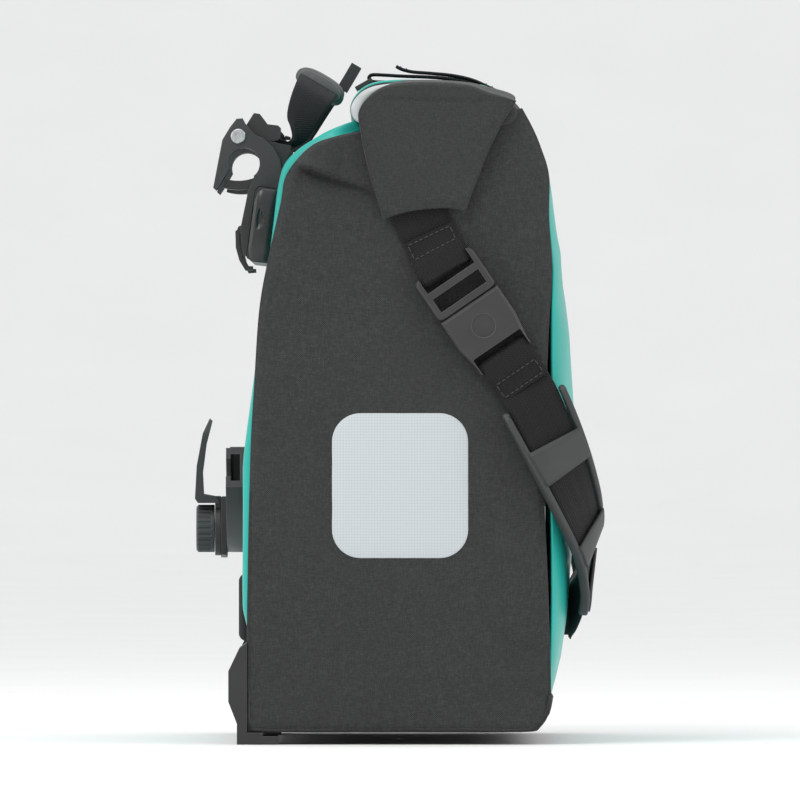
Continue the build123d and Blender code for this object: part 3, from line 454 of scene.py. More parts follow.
fabric = wovenFabric()
teal = coatedFabric()
# pale grey material painted in for the reflection on the roll's end
reflectionPaint = paintedReflectionFilm()
film = reflectiveFilm()
webbing = wovenWebbing()
steel = turnedSteel()
thread = sewingThread()
railPlastic = mouldedPlastic("glass-filled nylon, moulded", "#1c1d1d", "#262727", 0.42, 0.35, 0.05)
glossPlastic = mouldedPlastic("nylon, moulded, polished tool", "#181a1a", "#222424", 0.27, 0.6, 0.02)
hookPlastic = mouldedPlastic("fibre-filled nylon hook, fine grain", "#292a2a", "#343636", 0.5, 0.25, 0.06)
knobPlastic = mouldedPlastic("nylon knob and fin, moulded", "#2c3131", "#394040", 0.5, 0.3, 0.05, 0.5)
bucklePlastic = mouldedPlastic("acetal buckle, matte tool", "#262626", "#303030", 0.46, 0.28, 0.05, 0.5)
framePlastic = mouldedPlastic("nylon strap guide, moulded flat and bent", "#2a2c2c", "#363838", 0.5, 0.3, 0.05, 0.6)
boardPlastic = mouldedPlastic("polyethylene sheet", "#141515", "#1d1e1e", 0.55, 0.8, 0.05)
blackRubber = softRubber("thermoplastic rubber pad", "#141414", "#262626", 2.4)
gripRubber = softRubber("foamed rubber grip sleeve", "#3a3b3b", "#6c6d6d", 1.6)

slotLook = {"grey_fabric": fabric, "teal_fabric": teal, "reflective_patch": film, "board_plastic": boardPlastic,
            "black_plastic": railPlastic, "gloss_black_plastic": glossPlastic, "hook_plastic": hookPlastic,
            "knob_plastic": knobPlastic, "buckle_plastic": bucklePlastic, "frame_plastic": framePlastic, "steel": steel,
            "black_rubber": blackRubber, "grip_rubber": gripRubber, "webbing": webbing}
for nodeName, part in nodes.items():
    for index, holder in enumerate(part.material_slots):
        key = holder.material.name.split(".")[0] if holder.material else ""
        if key in slotLook:
            holder.material = slotLook[key]
        else:
            print("no finish for", nodeName, key)
print("materials ready")


# ------------------------------------------------------------ grey side panels
sideInfo = {
    # edge lines seen from the side (x, z), bottom to top
    "backEdge": [(-67.6, 7.4), (-68.4, 20), (-68.3, 73), (-67.3, 130), (-65.5, 164), (-63.2, 198), (-59.2, 221),
                 (-53.6, 246), (-50.6, 260), (-40, 272.4), (-28, 277.2), (-16.8, 279.6)],
    "frontEdge": [(63.5, 7.4), (67.8, 13), (69.6, 22), (68.7, 66), (66.9, 111), (67.4, 150), (68.7, 187),
                  (70.3, 216), (68.9, 239), (68.9, 259), (65.4, 271.5), (61.5, 280.9), (56.6, 290)],
    "foot": [(-67.6, 7.4), (-62, 5.7), (0, 5.5), (57, 5.7), (63.5, 7.4)],
    "neck": [(-16.8, 279.6), (2, 280.5), (28, 283.5), (56.6, 290)],
    "belly": 0.9,        # how far the middle stands out
    "foldTip": (-45.0, 263.8), "foldEnd": (-9.0, 251.8), "foldRise": 4.4,
    "columns": 130, "rows": 300,
}
strapLane = [(-6, 262), (5.5, 250), (34.75, 197), (62, 156), (79, 118)]


def laneGap(x, z):
    # distance from the line that the strap and buckle lie on
    best = 1e9
    for (ax, az), (bx, bz) in zip(strapLane, strapLane[1:]):
        t = max(0.0, min(1.0, ((x - ax) * (bx - ax) + (z - az) * (bz - az)) / ((bx - ax) ** 2 + (bz - az) ** 2)))
        best = min(best, math.hypot(x - ax - t * (bx - ax), z - az - t * (bz - az)))
    return best


def sideStand(x, z, edge):
    # how far the side panel stands out of its flat plane at (x, z); edge is the distance to its rim
    tipX, tipZ = sideInfo["foldTip"]
    endX, endZ = sideInfo["foldEnd"]
    dx, dz = endX - tipX, endZ - tipZ
    length = math.hypot(dx, dz)
    run = ((x - tipX) * dx + (z - tipZ) * dz) / (length * length)
    above = ((z - tipZ) * dx - (x - tipX) * dz) / length
    out = sideInfo["belly"] * bump(x, z, -8, 120, 60, 95)
    reach = smooth01((run + 0.12) / 0.25) * (1 - 0.45 * smooth01((run - 0.6) / 0.5))
    if -0.3 < run < 1.5:
        crest = smooth01((above + 0.5) / 1.2) * math.exp(-max(0.0, above - 1.5) / 10.0)
        out += sideInfo["foldRise"] * crest * reach
        if above < 0.6:
            out -= 4.2 * reach * smooth01(edge / 9.0) * math.exp(min(0.0, above + 0.6) / 5.5)
    out -= 1.5 * bump(x, z, 60, 41, 8, 7) + 1.2 * bump(x, z, 63, 195, 6, 11)
    out -= 1.0 * bump(x, z, -60, 218, 7, 30) + 0.8 * bump(x, z, 48, 22, 18, 8)
    out += 0.9 * bump(x, z, 55, 262, 12, 12) - 0.9 * bump(x, z, 44, 238, 5, 26)
    out += 0.55 * wobble(x, 0, z, 46, 3.1) + 0.22 * wobble(x, 0, z, 15, 7.7)
    out += 0.35 * math.sin((x * 0.52 + z * 0.35) / 9.0) * bump(x, z, 45, 60, 40, 60)
    lane = laneGap(x, z)
    if out > 0:
        out *= smooth01((lane - 17.0) / 14.0)
    out -= 1.4 * (1 - smooth01(edge / 5.0)) ** 2
    return out


def sidePanel():
    info = sideInfo
    grid = fourSided(flatCurve(info["foot"], info["columns"]), flatCurve(info["neck"], info["columns"]),
                     flatCurve(info["backEdge"], info["rows"]), flatCurve(info["frontEdge"], info["rows"]))
    rows = []
    for row in grid:
        line = []
        for i, p in enumerate(row):
            edge = min((p - row[0]).length, (p - row[-1]).length, (p - grid[0][i]).length)
            line.append(spot(p.x, -halfWidth - sideStand(p.x, p.z, edge), p.z))
        rows.append(line)
    piece = sheetFrom("sidePanelNear", rows)
    thicken(piece, 1.0, -1.0)
    return piece


sideNear = dress(sidePanel(), fabric)
sideFar = mirroredCopy(sideNear, "sidePanelFar")
for piece, name in ((sideNear, "near"), (sideFar, "far")):
    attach(piece, "bag")
    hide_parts("side_panel_" + name)
print("side panels ready")

# ------------------------------------------------------------ teal front panel, welded to the sides
frontInfo = {
    # how far the crown of the bulge reaches forward at each height
    "crown": [(5.5, 62.0), (10, 66.0), (20, 70.3), (30, 73.2), (39, 75.3), (56, 77.7), (73, 79.5),
              (84, 80.4), (111, 81.4), (152, 81.6), (187, 79.4), (221, 75.4), (234, 73.5), (250, 71.4), (262, 69.4),
              (271.5, 65.2), (281, 61.2), (288, 57.4)],
    "corner": 6.0,       # higher is a boxier corner
    "columns": 150, "rows": 150,
    "low": 13.0, "high": 288.0,
}


def frontReach(y, z):
    seam = along([(p[1], p[0]) for p in sideInfo["frontEdge"]], z)
    crown = along(frontInfo["crown"], z)
    t = min(1.0, abs(y) / (halfWidth - 0.3))
    bulge = (1 - t ** frontInfo["corner"]) ** 0.5
    x = seam - 0.6 + (crown - seam + 0.6) * bulge
    calm = smooth01((abs(y) - 30) / 12) * (1 - smooth01((abs(y) - 112) / 10))
    dent = 0.7 * wobble(0, y, z, 55, 1.3) + 0.4 * wobble(0, y * 0.6, z, 24, 5.9)
    fold = 1.1 * math.exp(-((z - 214 - 0.12 * abs(y)) / 4.5) ** 2) * wobble(0, y, 0, 60, 2.2)
    high = smooth01((z - 236) / 30)
    x += (dent + fold) * (1 - high) * (0.35 + 0.65 * calm) - 0.5
    x -= 2.6 * smooth01((z - 246) / 12) * smooth01((abs(y) - 96) / 18)
    x -= 1.6 * bump(abs(y), z, 60, 225, 26, 16) + 1.0 * bump(abs(y), z, 92, 30, 20, 12)
    return x


def frontPanel():
    info = frontInfo
    rows = []
    for j in range(info["rows"]):
        z = info["low"] + (info["high"] - info["low"]) * j / (info["rows"] - 1)
        narrow = 2.0 + 0.5 * smooth01((z - 246) / 12) + 12.0 * smooth01((z - 281) / 8)
        edge = halfWidth - narrow
        line = []
        for i in range(info["columns"]):
            s = 2 * i / (info["columns"] - 1) - 1
            y = edge * math.copysign(1 - (1 - abs(s)) ** 1.55, s)
            line.append(spot(frontReach(y, z), y, z))
        rows.append(line)
    piece = sheetFrom("frontPanel", rows)
    thicken(piece, 1.2, -1.0)
    return piece


front = dress(frontPanel(), teal)
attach(front, "bag")
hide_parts("front_panel")

# ------------------------------------------------------------ teal back panel, over the shoulder to the roll
backInfo = {
    # outline of the back seen from the side (x, z), and how far its welded edge stands proud
    "outline": [(-66.6, 12.0), (-68.3, 20), (-68.6, 60), (-68.6, 118), (-68.2, 130), (-66.9, 141), (-60.6, 190), (-54.6, 237),
                (-52.4, 254), (-49.5, 264), (-43.5, 272.5), (-35, 278.6), (-26, 282.6), (-18, 285.0), (-12, 286.0)],
    "edgeRise": 2.3,
    "rows": 170, "columns": 130,
}


def backPanel():
    info = backInfo
    line = curveThrough([(x, 0, z) for x, z in info["outline"]], info["rows"])
    rows = []
    for j, p in enumerate(line):
        before, after = line[max(j - 1, 0)], line[min(j + 1, len(line) - 1)]
        step = (after - before).normalized()
        out = Vector((-step.z, 0, step.x))
        top = smooth01((p.z - 262) / 16)
        edge = halfWidth - 0.7 - 11.0 * smooth01((p.x + 30) / 14)
        row = []
        for i in range(info["columns"]):
            s = 2 * i / (info["columns"] - 1) - 1
            y = edge * math.copysign(1 - (1 - abs(s)) ** 1.5, s)
            rim = math.exp(-((abs(y) - (edge - 7.5)) / 7.0) ** 2) * smooth01((p.z - 50) / 14)
            rise = info["edgeRise"] * rim * (1 - top)
            turn = 1 - smooth01((edge - abs(y)) / 4.2)
            rise -= (4.6 if p.z > 50 else 1.4) * turn ** 2
            rise += top * (0.9 * wobble(p.x, y, 0, 34, 4.4) - 0.4)
            rise -= 0.5 * abs(wobble(0, y, p.z, 38, 6.5)) * (1 - top)
            row.append(spot(p.x + out.x * rise, y, p.z + out.z * rise))
        rows.append(row)
    piece = sheetFrom("backPanel", rows, flip=True)
    thicken(piece, 1.2, -1.0)
    return piece


back = dress(backPanel(), teal)
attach(back, "bag")
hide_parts("back_panel")

# ------------------------------------------------------------ grey bottom, turned up at front and back
bottomInfo = {
    "section": [(-68.7, 24.0), (-69.2, 14.0), (-67.3, 7.6), (-60, 5.6), (0, 5.5), (54, 5.6), (63.5, 7.6), (69.0, 14.0),
                (70.9, 22.0)],
    "rows": 120, "columns": 60,
}


def bottomPanel():
    info = bottomInfo
    line = curveThrough([(x, 0, z) for x, z in info["section"]], info["rows"])
    rows = []
    for p in line:
        row = []
        for i in range(info["columns"]):
            y = (halfWidth - 0.2) * (2 * i / (info["columns"] - 1) - 1)
            sag = 0.0
            if abs(p.x) < 55:
                sag = 0.5 * abs(wobble(p.x, y, 0, 40, 8.8)) * smooth01((55 - abs(p.x)) / 12)
            end = 1 - smooth01((halfWidth - 0.2 - abs(y)) / 3.0)
            inward = Vector((0 - p.x, 0, 40 - p.z)).normalized() * 1.1 * end ** 2
            row.append(spot(p.x + inward.x, y, p.z + sag + inward.z))
        rows.append(row)
    piece = sheetFrom("bottomPanel", rows)
    thicken(piece, 1.2, -1.0)
    return piece


bottom = dress(bottomPanel(), fabric)
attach(bottom, "bag")
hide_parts("bottom_panel", "bottom_edge_front", "bottom_edge_back")
print("front, back and bottom ready")


# ------------------------------------------------------------ roll: the flattened, rolled-up mouth
rollInfo = {
    # section (x, z), front to back over the top, as it lies beside the near end
    "section": [(44, 280.6), (53.5, 282.6), (56.6, 287.5), (53.0, 293.0), (44.5, 298.4), (33, 301.8), (15, 303.2), (-6, 302.8),
                (-15.5, 299.8), (-20.6, 294.0), (-21.6, 288.2), (-18.6, 283.2), (-10, 281.2), (16, 280.4)],
    "half": 111.5, "rows": 90, "columns": 120,
}


def rollRing(y, size=1.0, lift=0.0, count=120):
    pts = [(x, 0, z) for x, z in rollInfo["section"]]
    closed = curveThrough(pts + [pts[0]], count + 1)[:-1]
    mid = Vector((17, 0, 291))
    return [mid + (p - mid) * size + Vector((0, y, lift)) for p in closed]


def rollTop():
    info = rollInfo
    rows = []
    for j in range(info["rows"]):
        y = info["half"] * (2 * j / (info["rows"] - 1) - 1)
        ring = rollRing(y, 1.0, 0.0, info["columns"])
        line = []
        for p in ring:
            out = (p - Vector((17, y, 291))).normalized()
            under = smooth01((285 - p.z) / 3)
            rise = (0.7 * wobble(p.x, y, 0, 42, 9.1) + 0.25 * wobble(p.x, y * 0.5, p.z, 14, 2.8)) * (1 - under)
            rise -= 0.9 * math.exp(-((y / 16) ** 2)) * smooth01((p.z - 292) / 6)
            rise -= 0.6 * smooth01((abs(y) - 104) / 7)
            # two layer edges run along the roll's front and top
            rise += 0.7 * smooth01((p.x - 36.0) / 0.8) * (1 - smooth01((p.x - 48) / 6)) * smooth01((p.z - 286) / 3)
            line.append(spot(p.x + out.x * rise, y, p.z + out.z * rise))
        rows.append(line)
    return sheetFrom("rollTop", rows, closed=True, caps=True)


roll = dress(rollTop(), teal)
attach(roll, "bag")
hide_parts("roll_closure")

# ------------------------------------------------------------ roll ends, with the flap folded down over the side
flapInfo = {
    # outline of the folded-down flap (x, z)
    "left": [(-6.6, 238.8), (-9.3, 247.6), (-12.3, 257.6), (-15.2, 269.5), (-17.3, 281),
             (-18.1, 287.0), (-16.4, 291.4)],
    "right": [(30.9, 242.7), (33.6, 250.8), (36.6, 258.2), (41.0, 269.9), (44.6, 277.3), (48.2, 284.6), (53.6, 292.6)],
    "hem": [(-6.6, 238.8), (-2.1, 240.8), (6.7, 243.0), (17.7, 244.2), (25.4, 244.1), (30.9, 242.7)],
    "top": [(-16.4, 291.4), (-11.0, 296.2), (-4.6, 299.2), (4.3, 300.3), (16.1, 300.4), (31.7, 299.3), (41.1, 296.2),
            (50.0, 294.0), (53.6, 292.6)],
    "inner": 128.0, "outer": 130.4, "columns": 90, "rows": 70,
}


def flapSheet():
    # outer face up from the hem, over the top, and down inside again
    info = flapInfo
    grid = fourSided(flatCurve(info["hem"], info["columns"]), flatCurve(info["top"], info["columns"]),
                     flatCurve(info["left"], info["rows"]), flatCurve(info["right"], info["rows"]))
    def outFace(p, u, v):
        puff = 1.1 * math.sin(math.pi * min(1, max(0, u))) * smooth01(v / 0.5) * (1 - 0.4 * v)
        crease = 0.7 * math.exp(-((p.z - 293.2 + 0.02 * (p.x - 17)) / 0.9) ** 2)
        crease *= smooth01((u - 0.12) / 0.1) * (1 - smooth01((u - 0.82) / 0.1))
        hemLine = 0.35 * math.exp(-((v - 0.035) / 0.012) ** 2)
        return puff - crease - hemLine + 0.35 * wobble(p.x, 0, p.z, 26, 12.4) + 0.15 * wobble(p.x, 0, p.z, 9, 3.3)
    rows = []
    count = info["columns"]
    for j, row in enumerate(grid):
        v = j / (info["rows"] - 1)
        rows.append([spot(p.x, -info["outer"] - outFace(p, i / (count - 1), v), p.z) for i, p in enumerate(row)])
    crest = grid[-1]
    for turn in range(1, 9):
        # over the top edge and in towards the roll
        a = math.pi / 2 * turn / 8
        radius = 3.2
        line = []
        for i, p in enumerate(crest):
            fade = math.sin(math.pi * i / (count - 1)) ** 0.35
            line.append(spot(p.x, -info["outer"] + radius * (1 - math.cos(a)), p.z + 1.6 * fade * math.sin(a)))
        rows.append(line)
    for step in (1, 2, 3, 4):
        line = []
        for i, p in enumerate(crest):
            fade = math.sin(math.pi * i / (count - 1)) ** 0.35
            y = -info["outer"] + 3.2 + (info["outer"] - 3.2 - 108.6) * step / 4
            blend = smooth01(step / 4)
            line.append(spot(p.x, y, p.z + 1.6 * fade + (1.2 + 1.5 * smooth01((p.x - 30) / 14)) * blend))
        rows.append(line)
    piece = sheetFrom("flapSheet", rows)
    thicken(piece, 0.9, -1.0)
    return piece


def flapBack():
    # the flap's inner layer, a hand's breadth of folded fabric behind the outer face
    info = flapInfo
    grid = fourSided(*[flatCurve(info[side], 40) for side in ("hem", "top", "left", "right")])
    rows = []
    for j, row in enumerate(grid):
        line = []
        for i, p in enumerate(row):
            u, v = i / 39, j / 39
            pinch = max(1 - smooth01(u / 0.06), smooth01((u - 0.94) / 0.06), 1 - smooth01(v / 0.04))
            line.append(spot(p.x, -info["inner"] - 2.2 * pinch - 0.3 * wobble(p.x, 0, p.z, 20, 5.5), p.z - 0.4 * v))
        rows.append(line)
    piece = sheetFrom("flapBack", rows, flip=True)
    thicken(piece, 0.8, -1.0)
    return piece


def rollStub():
    # grey end of the roll between the teal part and the flap
    rows = []
    rings = ((-110.6, 0.985), (-112.0, 1.012), (-113.5, 1.006), (-118, 0.995), (-123, 0.985),
             (-126.4, 0.96), (-127.4, 0.9))
    for y, size in rings:
        drop = smooth01((-y - 111) / 2.5)
        rows.append([spot(p.x + 1.2 * drop - 2.2 * drop * smooth01((p.x - 20) / 36), p.y,
                          287 + (p.z - 287) * (1 - 0.24 * drop * (1 - 0.8 * smooth01((p.x - 40) / 10))))
                     for p in rollRing(y, size, 0.0, 96)])
    return sheetFrom("rollStub", rows, closed=True, caps=True, flip=True)


def paleReflectionSheet():
    # painted reflection: a pale grey sheet at the roll's end, behind the flap, standing in for the bright reflection on
    # the roll's rounded teal end
    pts = [(x, 0, z) for x, z in rollInfo["section"]]
    closed = curveThrough(pts + [pts[0]], 97)[:-1]
    mid = Vector((17, 0, 291.5))
    rows = []
    rings = ((0.985, -113.0), (0.995, -114.0), (0.99, -126.2), (0.97, -127.2), (0.88, -127.7),
             (0.82, -127.2), (0.81, -126.4))
    for size, y in rings:
        line = []
        for p in closed:
            back = smooth01((20 - p.x) / 14)
            flat = 0.72 + 0.16 * back
            line.append(spot(mid.x + (p.x - mid.x) * size * (0.72 + 0.28 * back), y,
                             mid.z - 0.6 * back + (p.z - mid.z) * size * flat))
        rows.append(line)
    return sheetFrom("paleReflectionSheet", rows, closed=True, caps=True, flip=True)


for side, tag in ((1, "Near"), (-1, "Far")):
    made = join("rollEnd" + tag, [flapSheet(), flapBack(), rollStub()])
    # pale sheet that paints in the reflection on the roll's end
    pale = paleReflectionSheet()
    pale.name = "rollReflection" + tag
    if side < 0:
        toFarSide(made)
        toFarSide(pale)
    dress(made, fabric)
    dress(pale, reflectionPaint)
    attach(made, "bag")
    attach(pale, "bag")
    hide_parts("roll_end_" + tag.lower())
print("roll ready")

# ------------------------------------------------------------ reflective patches, pressed onto the sides
patchInfo = {"centre": (1.0, 118.0), "size": (62.0, 66.0), "corner": 13.0, "rise": 0.45, "rim": 1.3}


def reflectivePatch():
    info = patchInfo
    cx, cz = info["centre"]
    hw, hh = info["size"][0] / 2, info["size"][1] / 2
    border = []
    for qx, qz, a0 in ((1, 1, 0), (-1, 1, 90), (-1, -1, 180), (1, -1, 270)):
        for k in range(13):
            a = math.radians(a0 + 90 * k / 12)
            border.append((qx * (hw - info["corner"]) + info["corner"] * math.cos(a),
                           qz * (hh - info["corner"]) + info["corner"] * math.sin(a)))
    rings = []
    steps = [(0.0, -0.4), (0.0, 0.12), (0.25, 0.3), (info["rim"], 0.3)]
    steps += [(inset, info["rise"]) for inset in (info["rim"] + 0.5, 8, 18, 27)]
    for inset, rise in steps:
        f = 1 - inset / hw
        ring = []
        for x, z in border:
            px, pz = cx + x * f, cz + z * (1 - inset / hh)
            ring.append(spot(px, -halfWidth - sideStand(px, pz, 50) - rise, pz))
        rings.append(ring)
    return sheetFrom("reflectorNear", rings, closed=True, caps=True, flip=True)


patchNear = dress(reflectivePatch(), film)
patchFar = mirroredCopy(patchNear, "reflectorFar")
for piece, name in ((patchNear, "near"), (patchFar, "far")):
    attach(piece, "bag")
    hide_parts("reflector_" + name)
print("patches ready")


# ------------------------------------------------------------ webbing and its stitching
webInfo = {"width": 25.0, "thick": 1.5, "steps": 5}


def ribbonFrames(stations):
    # each station: (x, y, z), the way the strap's width runs, and its half width
    out = []
    for i, (where, across, half) in enumerate(stations):
        here = Vector(where)
        before = Vector(stations[max(i - 1, 0)][0])
        after = Vector(stations[min(i + 1, len(stations) - 1)][0])
        run = (after - before).normalized()
        wide = Vector(across)
        wide = (wide - run * wide.dot(run)).normalized()
        out.append((here, wide, wide.cross(run).normalized(), half))
    return out


def easeStations(stations, steps):
    # smooth stations between the given ones
    flatten = [tuple(w) + tuple(a) + (h,) for w, a, h in stations]
    pad = [flatten[0]] + flatten + [flatten[-1]]
    line = []
    for a, b, c, d in zip(pad, pad[1:], pad[2:], pad[3:]):
        for k in range(steps):
            t = k / steps
            line.append([0.5 * (2 * q + (r - p) * t + (2 * p - 5 * q + 4 * r - s) * t * t
                                + (3 * q - p - 3 * r + s) * t ** 3)
                         for p, q, r, s in zip(a, b, c, d)])
    line.append(list(flatten[-1]))
    return [((v[0], v[1], v[2]), (v[3], v[4], v[5]), v[6]) for v in line]


def ribbon(name, stations, thickness, ripple=0.12, seed=0.0, columns=12):
    # flat strap with rounded selvedges, UVs in metres
    frames = ribbonFrames(stations)
    rows, uvs, run = [], [], 0.0
    ring = columns * 2
    last = None
    for here, wide, out, half in frames:
        if last is not None:
            run += (here - last).length
        last = here
        row = []
        for k in range(ring):
            top = k < columns
            s = (k + 0.0) / (columns - 1) if top else (ring - 1 - k) / (columns - 1)
            a = 2 * s - 1
            edge = math.sqrt(max(0.0, 1 - abs(a) ** 10))
            t = thickness / 2 * (0.42 + 0.58 * edge) * (1 if top else -1)
            t += ripple * wobble(run, a * 6, 0, 13, seed)
            row.append(spot(*(here + wide * a * half + out * t)))
            uvs.append((run * mm, a * half * mm))
        rows.append(row)
    return sheetFrom(name, rows, closed=True, caps=True, uvs=uvs)


def placeOn(stations, at, across, lift):
    # a point on a strap: run length from its start, offset across, height over its face
    frames = ribbonFrames(stations)
    run = 0.0
    for (p, wide, out, _), (q, wide2, out2, _) in zip(frames, frames[1:]):
        step = (q - p).length
        if run + step >= at:
            t = (at - run) / step
            return p.lerp(q, t) + wide.lerp(wide2, t).normalized() * across + out.lerp(out2, t).normalized() * lift
        run += step
    return frames[-1][0]


def stitchRow(stations, start, end, lift, pitch=2.6, size=0.34):
    # one seam: short oval stitches that dip into the strap; start and end are (run, across)
    points, faces = [], []
    count = max(2, int(math.dist(start, end) / pitch))
    for n in range(count):
        ends = []
        for part in (0.12, 0.88):
            t = (n + part) / count
            ends.append(placeOn(stations, start[0] + (end[0] - start[0]) * t, start[1] + (end[1] - start[1]) * t, lift))
        a, b = ends
        run = (b - a).normalized()
        side = run.cross(Vector((0.31, 0.88, 0.36))).normalized()
        up = side.cross(run).normalized()
        base = len(points)
        for k, (t, r) in enumerate(((0.0, 0.35), (0.25, 0.95), (0.5, 1.0), (0.75, 0.95), (1.0, 0.35))):
            for m in range(6):
                ang = math.tau * m / 6
                points.append(spot(*(a.lerp(b, t) + side * math.cos(ang) * size * r + up * math.sin(ang) * size * r)))
        for k in range(4):
            for m in range(6):
                low, high, onward = base + k * 6, base + (k + 1) * 6, (m + 1) % 6
                faces.append([low + m, low + onward, high + onward, high + m])
    return points, faces


def seams(name, stations, lines, lift):
    points, faces = [], []
    for start, end in lines:
        more, quads = stitchRow(stations, start, end, lift)
        faces += [[i + len(points) for i in f] for f in quads]
        points += more
    return dress(meshFrom(name, points, faces), thread)


def turned(degrees_):
    # strap width direction for a strap whose face looks from -Y round to +X
    a = math.radians(degrees_)
    return Vector((math.sin(a), -math.cos(a), 0))


def withAcross(points):
    # width directions for (x, y, z, turn) stations
    out = []
    for i, (x, y, z, turn) in enumerate(points):
        before = Vector(points[max(i - 1, 0)][:3])
        after = Vector(points[min(i + 1, len(points) - 1)][:3])
        run = (after - before).normalized()
        face = turned(turn)
        face = (face - run * face.dot(run)).normalized()
        out.append(((x, y, z), tuple(face.cross(run)), webInfo["width"] / 2))
    return out


buckleInfo = {"middle": (34.75, -130.3, 197.0), "along": (0.565, 0, -0.825), "half": 26.25}
buckleMid, buckleRun = Vector(buckleInfo["middle"]), Vector(buckleInfo["along"])
buckleWide = Vector((0.825, 0, 0.565))

lowerStations = [
    (48.34, -127.72, 177.16, 0), (55.65, -128.02, 166.6, 3), (61.95, -129.4, 156, 12), (72.75, -127.6, 133, 32),
    (79.35, -122, 117.5, 44), (84.35, -114.5, 104.5, 55), (87.35, -106, 93.5, 66), (87.35, -95, 82.5, 78),
    (85.15, -83, 72.5, 88), (81.95, -61, 64, 90), (79.86, -40, 60.5, 90), (79.66, -20.8, 59, 90),
]


def barTurn(centre, run, inward, radius, first, last, across, half, steps=8):
    # stations round a bar: the angle goes from inward (0) towards run (90)
    out = []
    for k in range(steps + 1):
        a = math.radians(first + (last - first) * k / steps)
        p = centre + (inward * math.cos(a) + run * math.sin(a)) * radius
        out.append((tuple(p), tuple(across), half))
    return out


def upperStrap():
    # from under the flap down to the buckle's bar, round it and back up over itself
    half = webInfo["width"] / 2
    bar = buckleMid - buckleRun * 24.05 + Vector((0, 1.3, 0))
    up = Vector((5.5, bar.y + 2.9, 250)) - (bar + Vector((0, 2.9, 0)))
    lead = up.normalized()
    flat = []
    for k in (1.12, 1.0, 0.75, 0.5, 0.28):
        p = bar + up * k
        flat.append(((p.x, -126.1, p.z), tuple(buckleWide), half))
    turnAbout = barTurn(bar, -lead, Vector((0, 1, 0)), 2.75, 25, 165, buckleWide, half)
    tail = []
    for d, y in ((6.5, -130.9), (10.5, -128.9), (14.0, -127.95), (18.0, -127.75)):
        p = bar + lead * d
        tail.append(((p.x, y, p.z), tuple(buckleWide), half))
    return easeStations(flat + turnAbout + tail, webInfo["steps"])


def lowerStrap():
    half = webInfo["width"] / 2
    bar = buckleMid + buckleRun * 24.05
    tail = []
    for d, y in ((17.5, -129.75), (13.5, -130.0), (9.5, -131.0), (5.5, -132.6)):
        p = bar + buckleRun * d
        tail.append(((p.x, y, p.z), tuple(buckleWide), half))
    turnAbout = barTurn(bar, -buckleRun, Vector((0, -1, 0)), 2.75, 15, 150, buckleWide, half)
    return easeStations(tail + turnAbout + withAcross(lowerStations)[1:], webInfo["steps"])


def runTo(stations, index):
    # strap length from its start to a given station
    return sum((Vector(b[0]) - Vector(a[0])).length for a, b in zip(stations[:index], stations[1:index + 1]))


def boxTack(start, length, half=9.5):
    # rectangle of stitches with a cross in it
    a, b = start, start + length
    return [((a, -half), (b, -half)), ((a, half), (b, half)), ((a, -half), (a, half)), ((b, -half), (b, half)),
            ((a, -half), (b, half)), ((a, half), (b, -half))]


upperPath, lowerPath = upperStrap(), lowerStrap()
thick = webInfo["thick"]
upperLength = runTo(upperPath, len(upperPath) - 1)
for side, tag in ((1, "Near"), (-1, "Far")):
    upper = ribbon("upperStrap" + tag, upperPath, thick, seed=2.0)
    lower = ribbon("lowerStrap" + tag, lowerPath, thick, seed=6.0)
    upperSeams = seams("upperStitches" + tag, upperPath, boxTack(upperLength - 9.0, 7.5, 10.5)[:4], thick / 2 + 0.12)
    lowerSeams = seams("lowerStitches" + tag, lowerPath, boxTack(1.5, 7.5, 10.5)[:4], thick / 2 + 0.12)
    for piece in (upper, lower):
        dress(piece, webbing)
    if side < 0:
        for piece in (upper, lower, upperSeams, lowerSeams):
            toFarSide(piece)
    body = "buckle_" + tag.lower()
    for piece in (upper, upperSeams):
        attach(piece, body)
    for piece in (lower, lowerSeams):
        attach(piece, "bag")
    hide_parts("closing_strap_upper_" + tag.lower())
    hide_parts("closing_strap_lower_" + tag.lower())
print("side straps ready")

# ------------------------------------------------------------ moulded guide that carries the strap round the corner
guideInfo = {
    "railIn": 13.1, "railOut": 16.1, "back": -2.4, "face": 2.0, "barBack": 1.75, "barFace": 3.1,
    "bars": ((0.75, 1.55), (3.5, 4.25), (5.25, 6.0)),
}


def sweep(name, stations, section, scales=None):
    # section of (across, out) points carried along stations
    rows = []
    for n, (here, wide, out, half) in enumerate(ribbonFrames(stations)):
        f = scales[n] if scales else (1.0, 1.0)
        rows.append([spot(*(here + wide * (a * f[0]) - out * (o * f[1]))) for a, o in section])
    return sheetFrom(name, rows, closed=True, caps=True)


def roundedSection(a0, a1, o0, o1, radius):
    pts = []
    for ca, co, start in ((a1 - radius, o1 - radius, 0), (a0 + radius, o1 - radius, 90),
                          (a0 + radius, o0 + radius, 180), (a1 - radius, o0 + radius, 270)):
        for k in range(4):
            a = math.radians(start + 30 * k)
            pts.append((ca + radius * math.cos(a), co + radius * math.sin(a)))
    return pts


